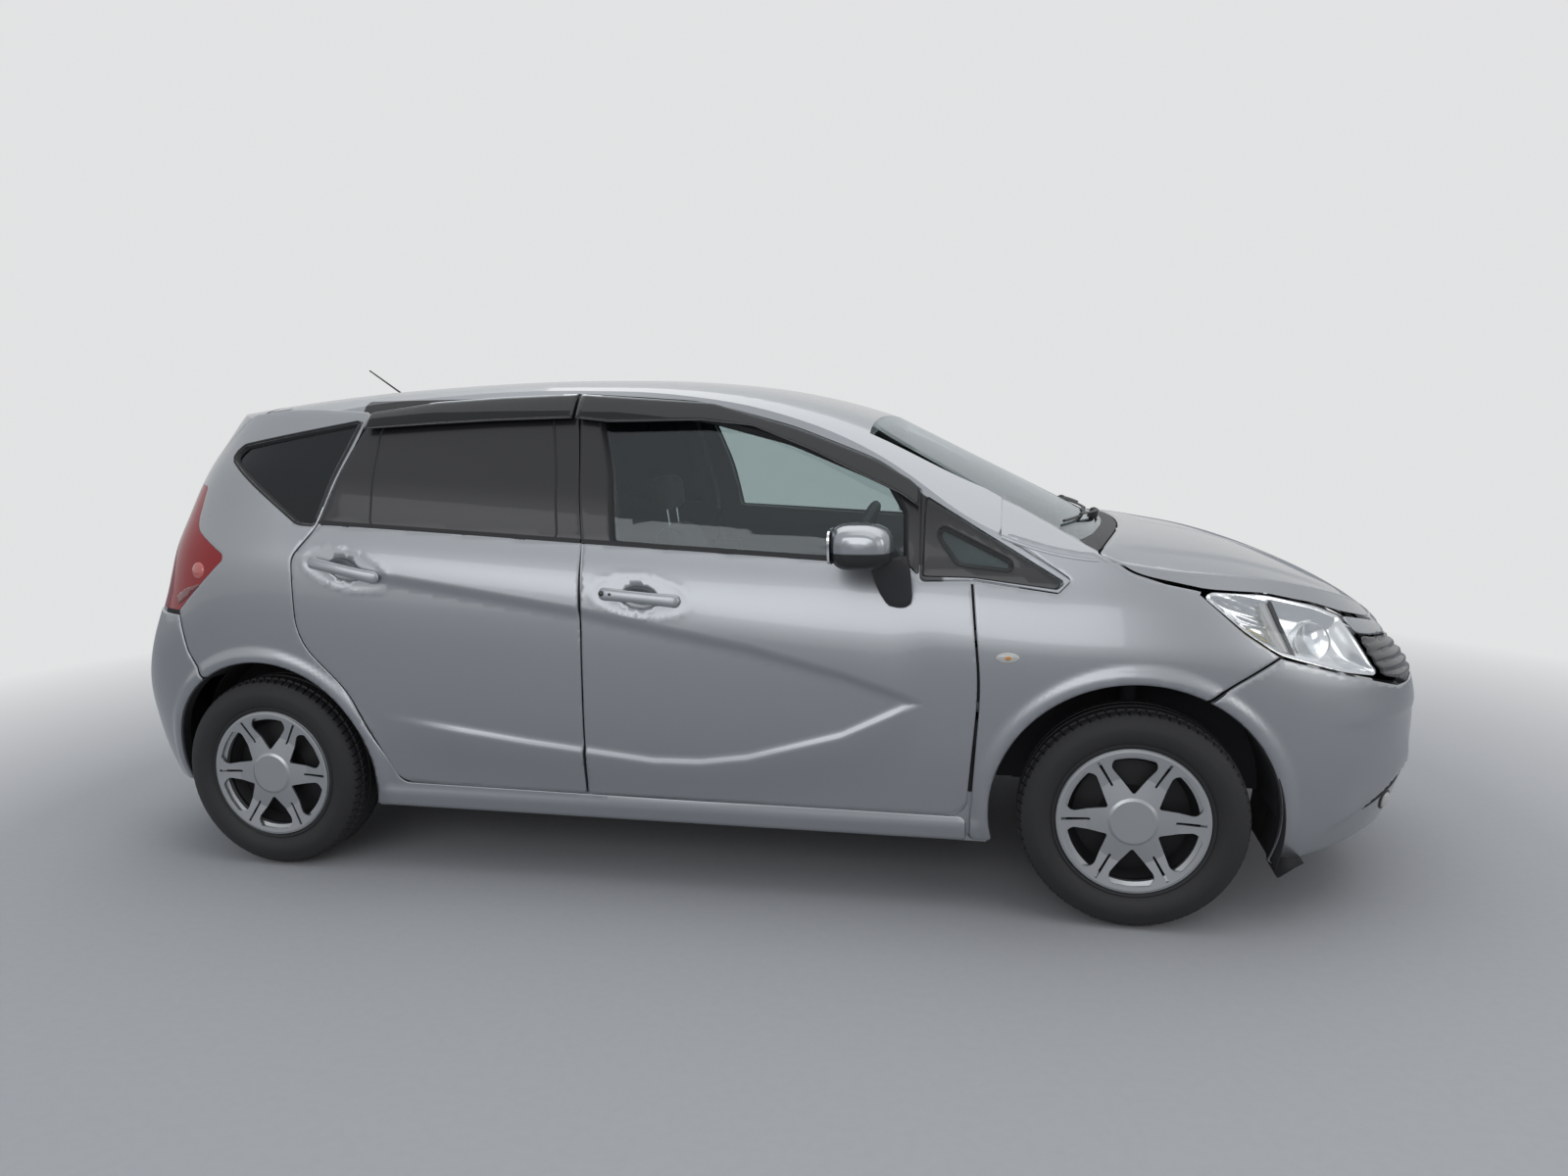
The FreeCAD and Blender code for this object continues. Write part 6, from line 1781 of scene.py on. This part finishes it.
def seat_frame(side, y):
    """Two rails with cross tubes under a front seat, and the two posts of its headrest."""
    rail = [(-0.255, 0.2258), (0.115, 0.2258), (0.115, 0.245), (0.080, 0.330), (-0.235, 0.330),
            (-0.255, 0.262)]
    parts = [extruded(rail, y + shift - 0.014, y + shift + 0.014) for shift in (-0.185, 0.185)]
    parts += [swept([(x, y - 0.185, 0.300), (x, y + 0.185, 0.300)], 0.013, 12) for x in (-0.215, 0.060)]
    posts = [swept([(-0.420, y + dy, 0.985), (-0.430, y + dy, 1.060)], 0.006, 12) for dy in (-0.060, 0.060)]
    for name, pieces, material, slot in (("seat_frame", parts, DARK, "dark_plastic"),
                                         ("headrest_posts", posts, CHROME, "steel")):
        verts, faces = joined(pieces)
        make_object(f"{name}_{side}", verts, outward(verts, faces), material, "body", slot, sharp=40)


seat_pads()
seat_frame("right", -SEAT_Y)
seat_frame("left", SEAT_Y)


# Floor, light and camera

def camera_matrix(place, yaw, pitch, roll):
    """Camera looking along (-sin(yaw)cos(pitch), cos(yaw)cos(pitch), sin(pitch)), rolled about that line."""
    ahead = np.array([-math.sin(yaw) * math.cos(pitch), math.cos(yaw) * math.cos(pitch), math.sin(pitch)])
    right = np.array([math.cos(yaw), math.sin(yaw), 0.0])
    over = np.cross(right, ahead)
    right, over = (math.cos(roll) * right + math.sin(roll) * over,
                   -math.sin(roll) * right + math.cos(roll) * over)
    matrix = np.eye(4)
    matrix[:3, 0], matrix[:3, 1], matrix[:3, 2], matrix[:3, 3] = right, over, -ahead, place
    return Matrix(matrix.tolist())


BACKDROP = (0.76, 0.765, 0.77, 1.0)
# Lights: name, place, target, size, watts, color
LIGHTS = [
    ("top_light", (0.2, 0.4, 4.8), (0.0, 0.0, 0.4), (9.0, 5.0), 120.0, (1.0, 0.99, 0.97)),
    ("side_light", (-1.5, -8.5, 3.9), (0.0, 0.0, 0.7), (9.0, 3.0), 140.0, (0.97, 0.98, 1.0)),
    ("front_light", (7.5, -3.5, 2.8), (0.8, 0.0, 0.7), (3.6, 3.0), 60.0, (1.0, 0.98, 0.95)),
]
CAMERA_PLACE = (0.88261, -3.69418, 1.35263)
CAMERA_YAW, CAMERA_PITCH, CAMERA_ROLL = 0.2092, -0.1466, -0.0157
FOCAL_LENGTH, SENSOR_WIDTH = 24.738, 36.0


def soft_box(name, place, target, size, power, color):
    """Rectangular area light aimed at a point."""
    data = bpy.data.lights.new(name, "AREA")
    data.shape = "RECTANGLE"
    data.size, data.size_y = size
    data.energy = power
    data.color = color
    light = bpy.data.objects.new(name, data)
    light.location = place
    light.rotation_euler = (Vector(target) - Vector(place)).to_track_quat("-Z", "Y").to_euler()
    bpy.context.scene.collection.objects.link(light)


def floor_material():
    """Pale floor that turns into the plain background far from the car."""
    material, tree = new_material("studio_floor")
    fine, _ = grain_values(tree, 40.0, 0.4)
    pale = mixed(tree, "RGBA", fine, (0.44, 0.44, 0.45, 1.0), (0.48, 0.48, 0.48, 1.0))
    shader = add_node(tree, "BsdfPrincipled", {"Base Color": pale, "Roughness": 0.75}).outputs[0]
    plain = add_node(tree, "Emission", {"Color": BACKDROP, "Strength": 1.0}).outputs[0]
    place = add_node(tree, "TexCoord").outputs["Object"]
    away = Value(tree, add_node(tree, "VectorMath", {0: place}, operation="LENGTH").outputs["Value"])
    seen = Value(tree, add_node(tree, "LightPath").outputs["Is Camera Ray"])
    return surfaced(material, mixed(tree, "SHADER", away.rising(2.6, 5.0) * seen, shader, plain))


def build_floor(size=60.0):
    """Level square floor."""
    mesh = bpy.data.meshes.new("floor")
    mesh.from_pydata([(-size, -size, 0), (size, -size, 0), (size, size, 0), (-size, size, 0)], [],
                     [(0, 1, 2, 3)])
    mesh.materials.append(floor_material())
    floor = bpy.data.objects.new("floor", mesh)
    bpy.context.scene.collection.objects.link(floor)


def build_world():
    """Sky that brightens upwards; the camera sees a plain backdrop, as do glass and in part reflections."""
    world = bpy.data.worlds.new("studio")
    bpy.context.scene.world = world
    world.use_nodes = True
    tree = world.node_tree
    tree.nodes.clear()
    rays = add_node(tree, "LightPath").outputs
    place = add_node(tree, "SeparateXYZ", {0: add_node(tree, "TexCoord").outputs["Generated"]}).outputs
    tone = mixed(tree, "RGBA", Value(tree, place[2]).rising(-0.12, 0.75), (0.26, 0.27, 0.28, 1.0),
                 (0.80, 0.88, 1.0, 1.0))
    sky = add_node(tree, "Background", {"Color": tone, "Strength": 0.55}).outputs[0]
    seen = add_node(tree, "Background", {"Color": BACKDROP, "Strength": 1.0}).outputs[0]
    shown = most(*(Value(tree, rays[f"Is {kind} Ray"]) for kind in ("Camera", "Transmission")),
                 Value(tree, rays["Is Glossy Ray"]) * 0.75)
    add_node(tree, "OutputWorld", {0: mixed(tree, "SHADER", shown, sky, seen)})


def place_camera():
    """Camera that stands where the photograph was taken from."""
    data = bpy.data.cameras.new("camera")
    data.lens = FOCAL_LENGTH
    data.sensor_width = SENSOR_WIDTH
    data.clip_start = 0.05
    camera = bpy.data.objects.new("camera", data)
    camera.matrix_world = camera_matrix(CAMERA_PLACE, CAMERA_YAW, CAMERA_PITCH, CAMERA_ROLL)
    bpy.context.scene.collection.objects.link(camera)
    bpy.context.scene.camera = camera
    bpy.context.scene.view_settings.view_transform = "Standard"


build_floor()
build_world()
for light in LIGHTS:
    soft_box(*light)
place_camera()
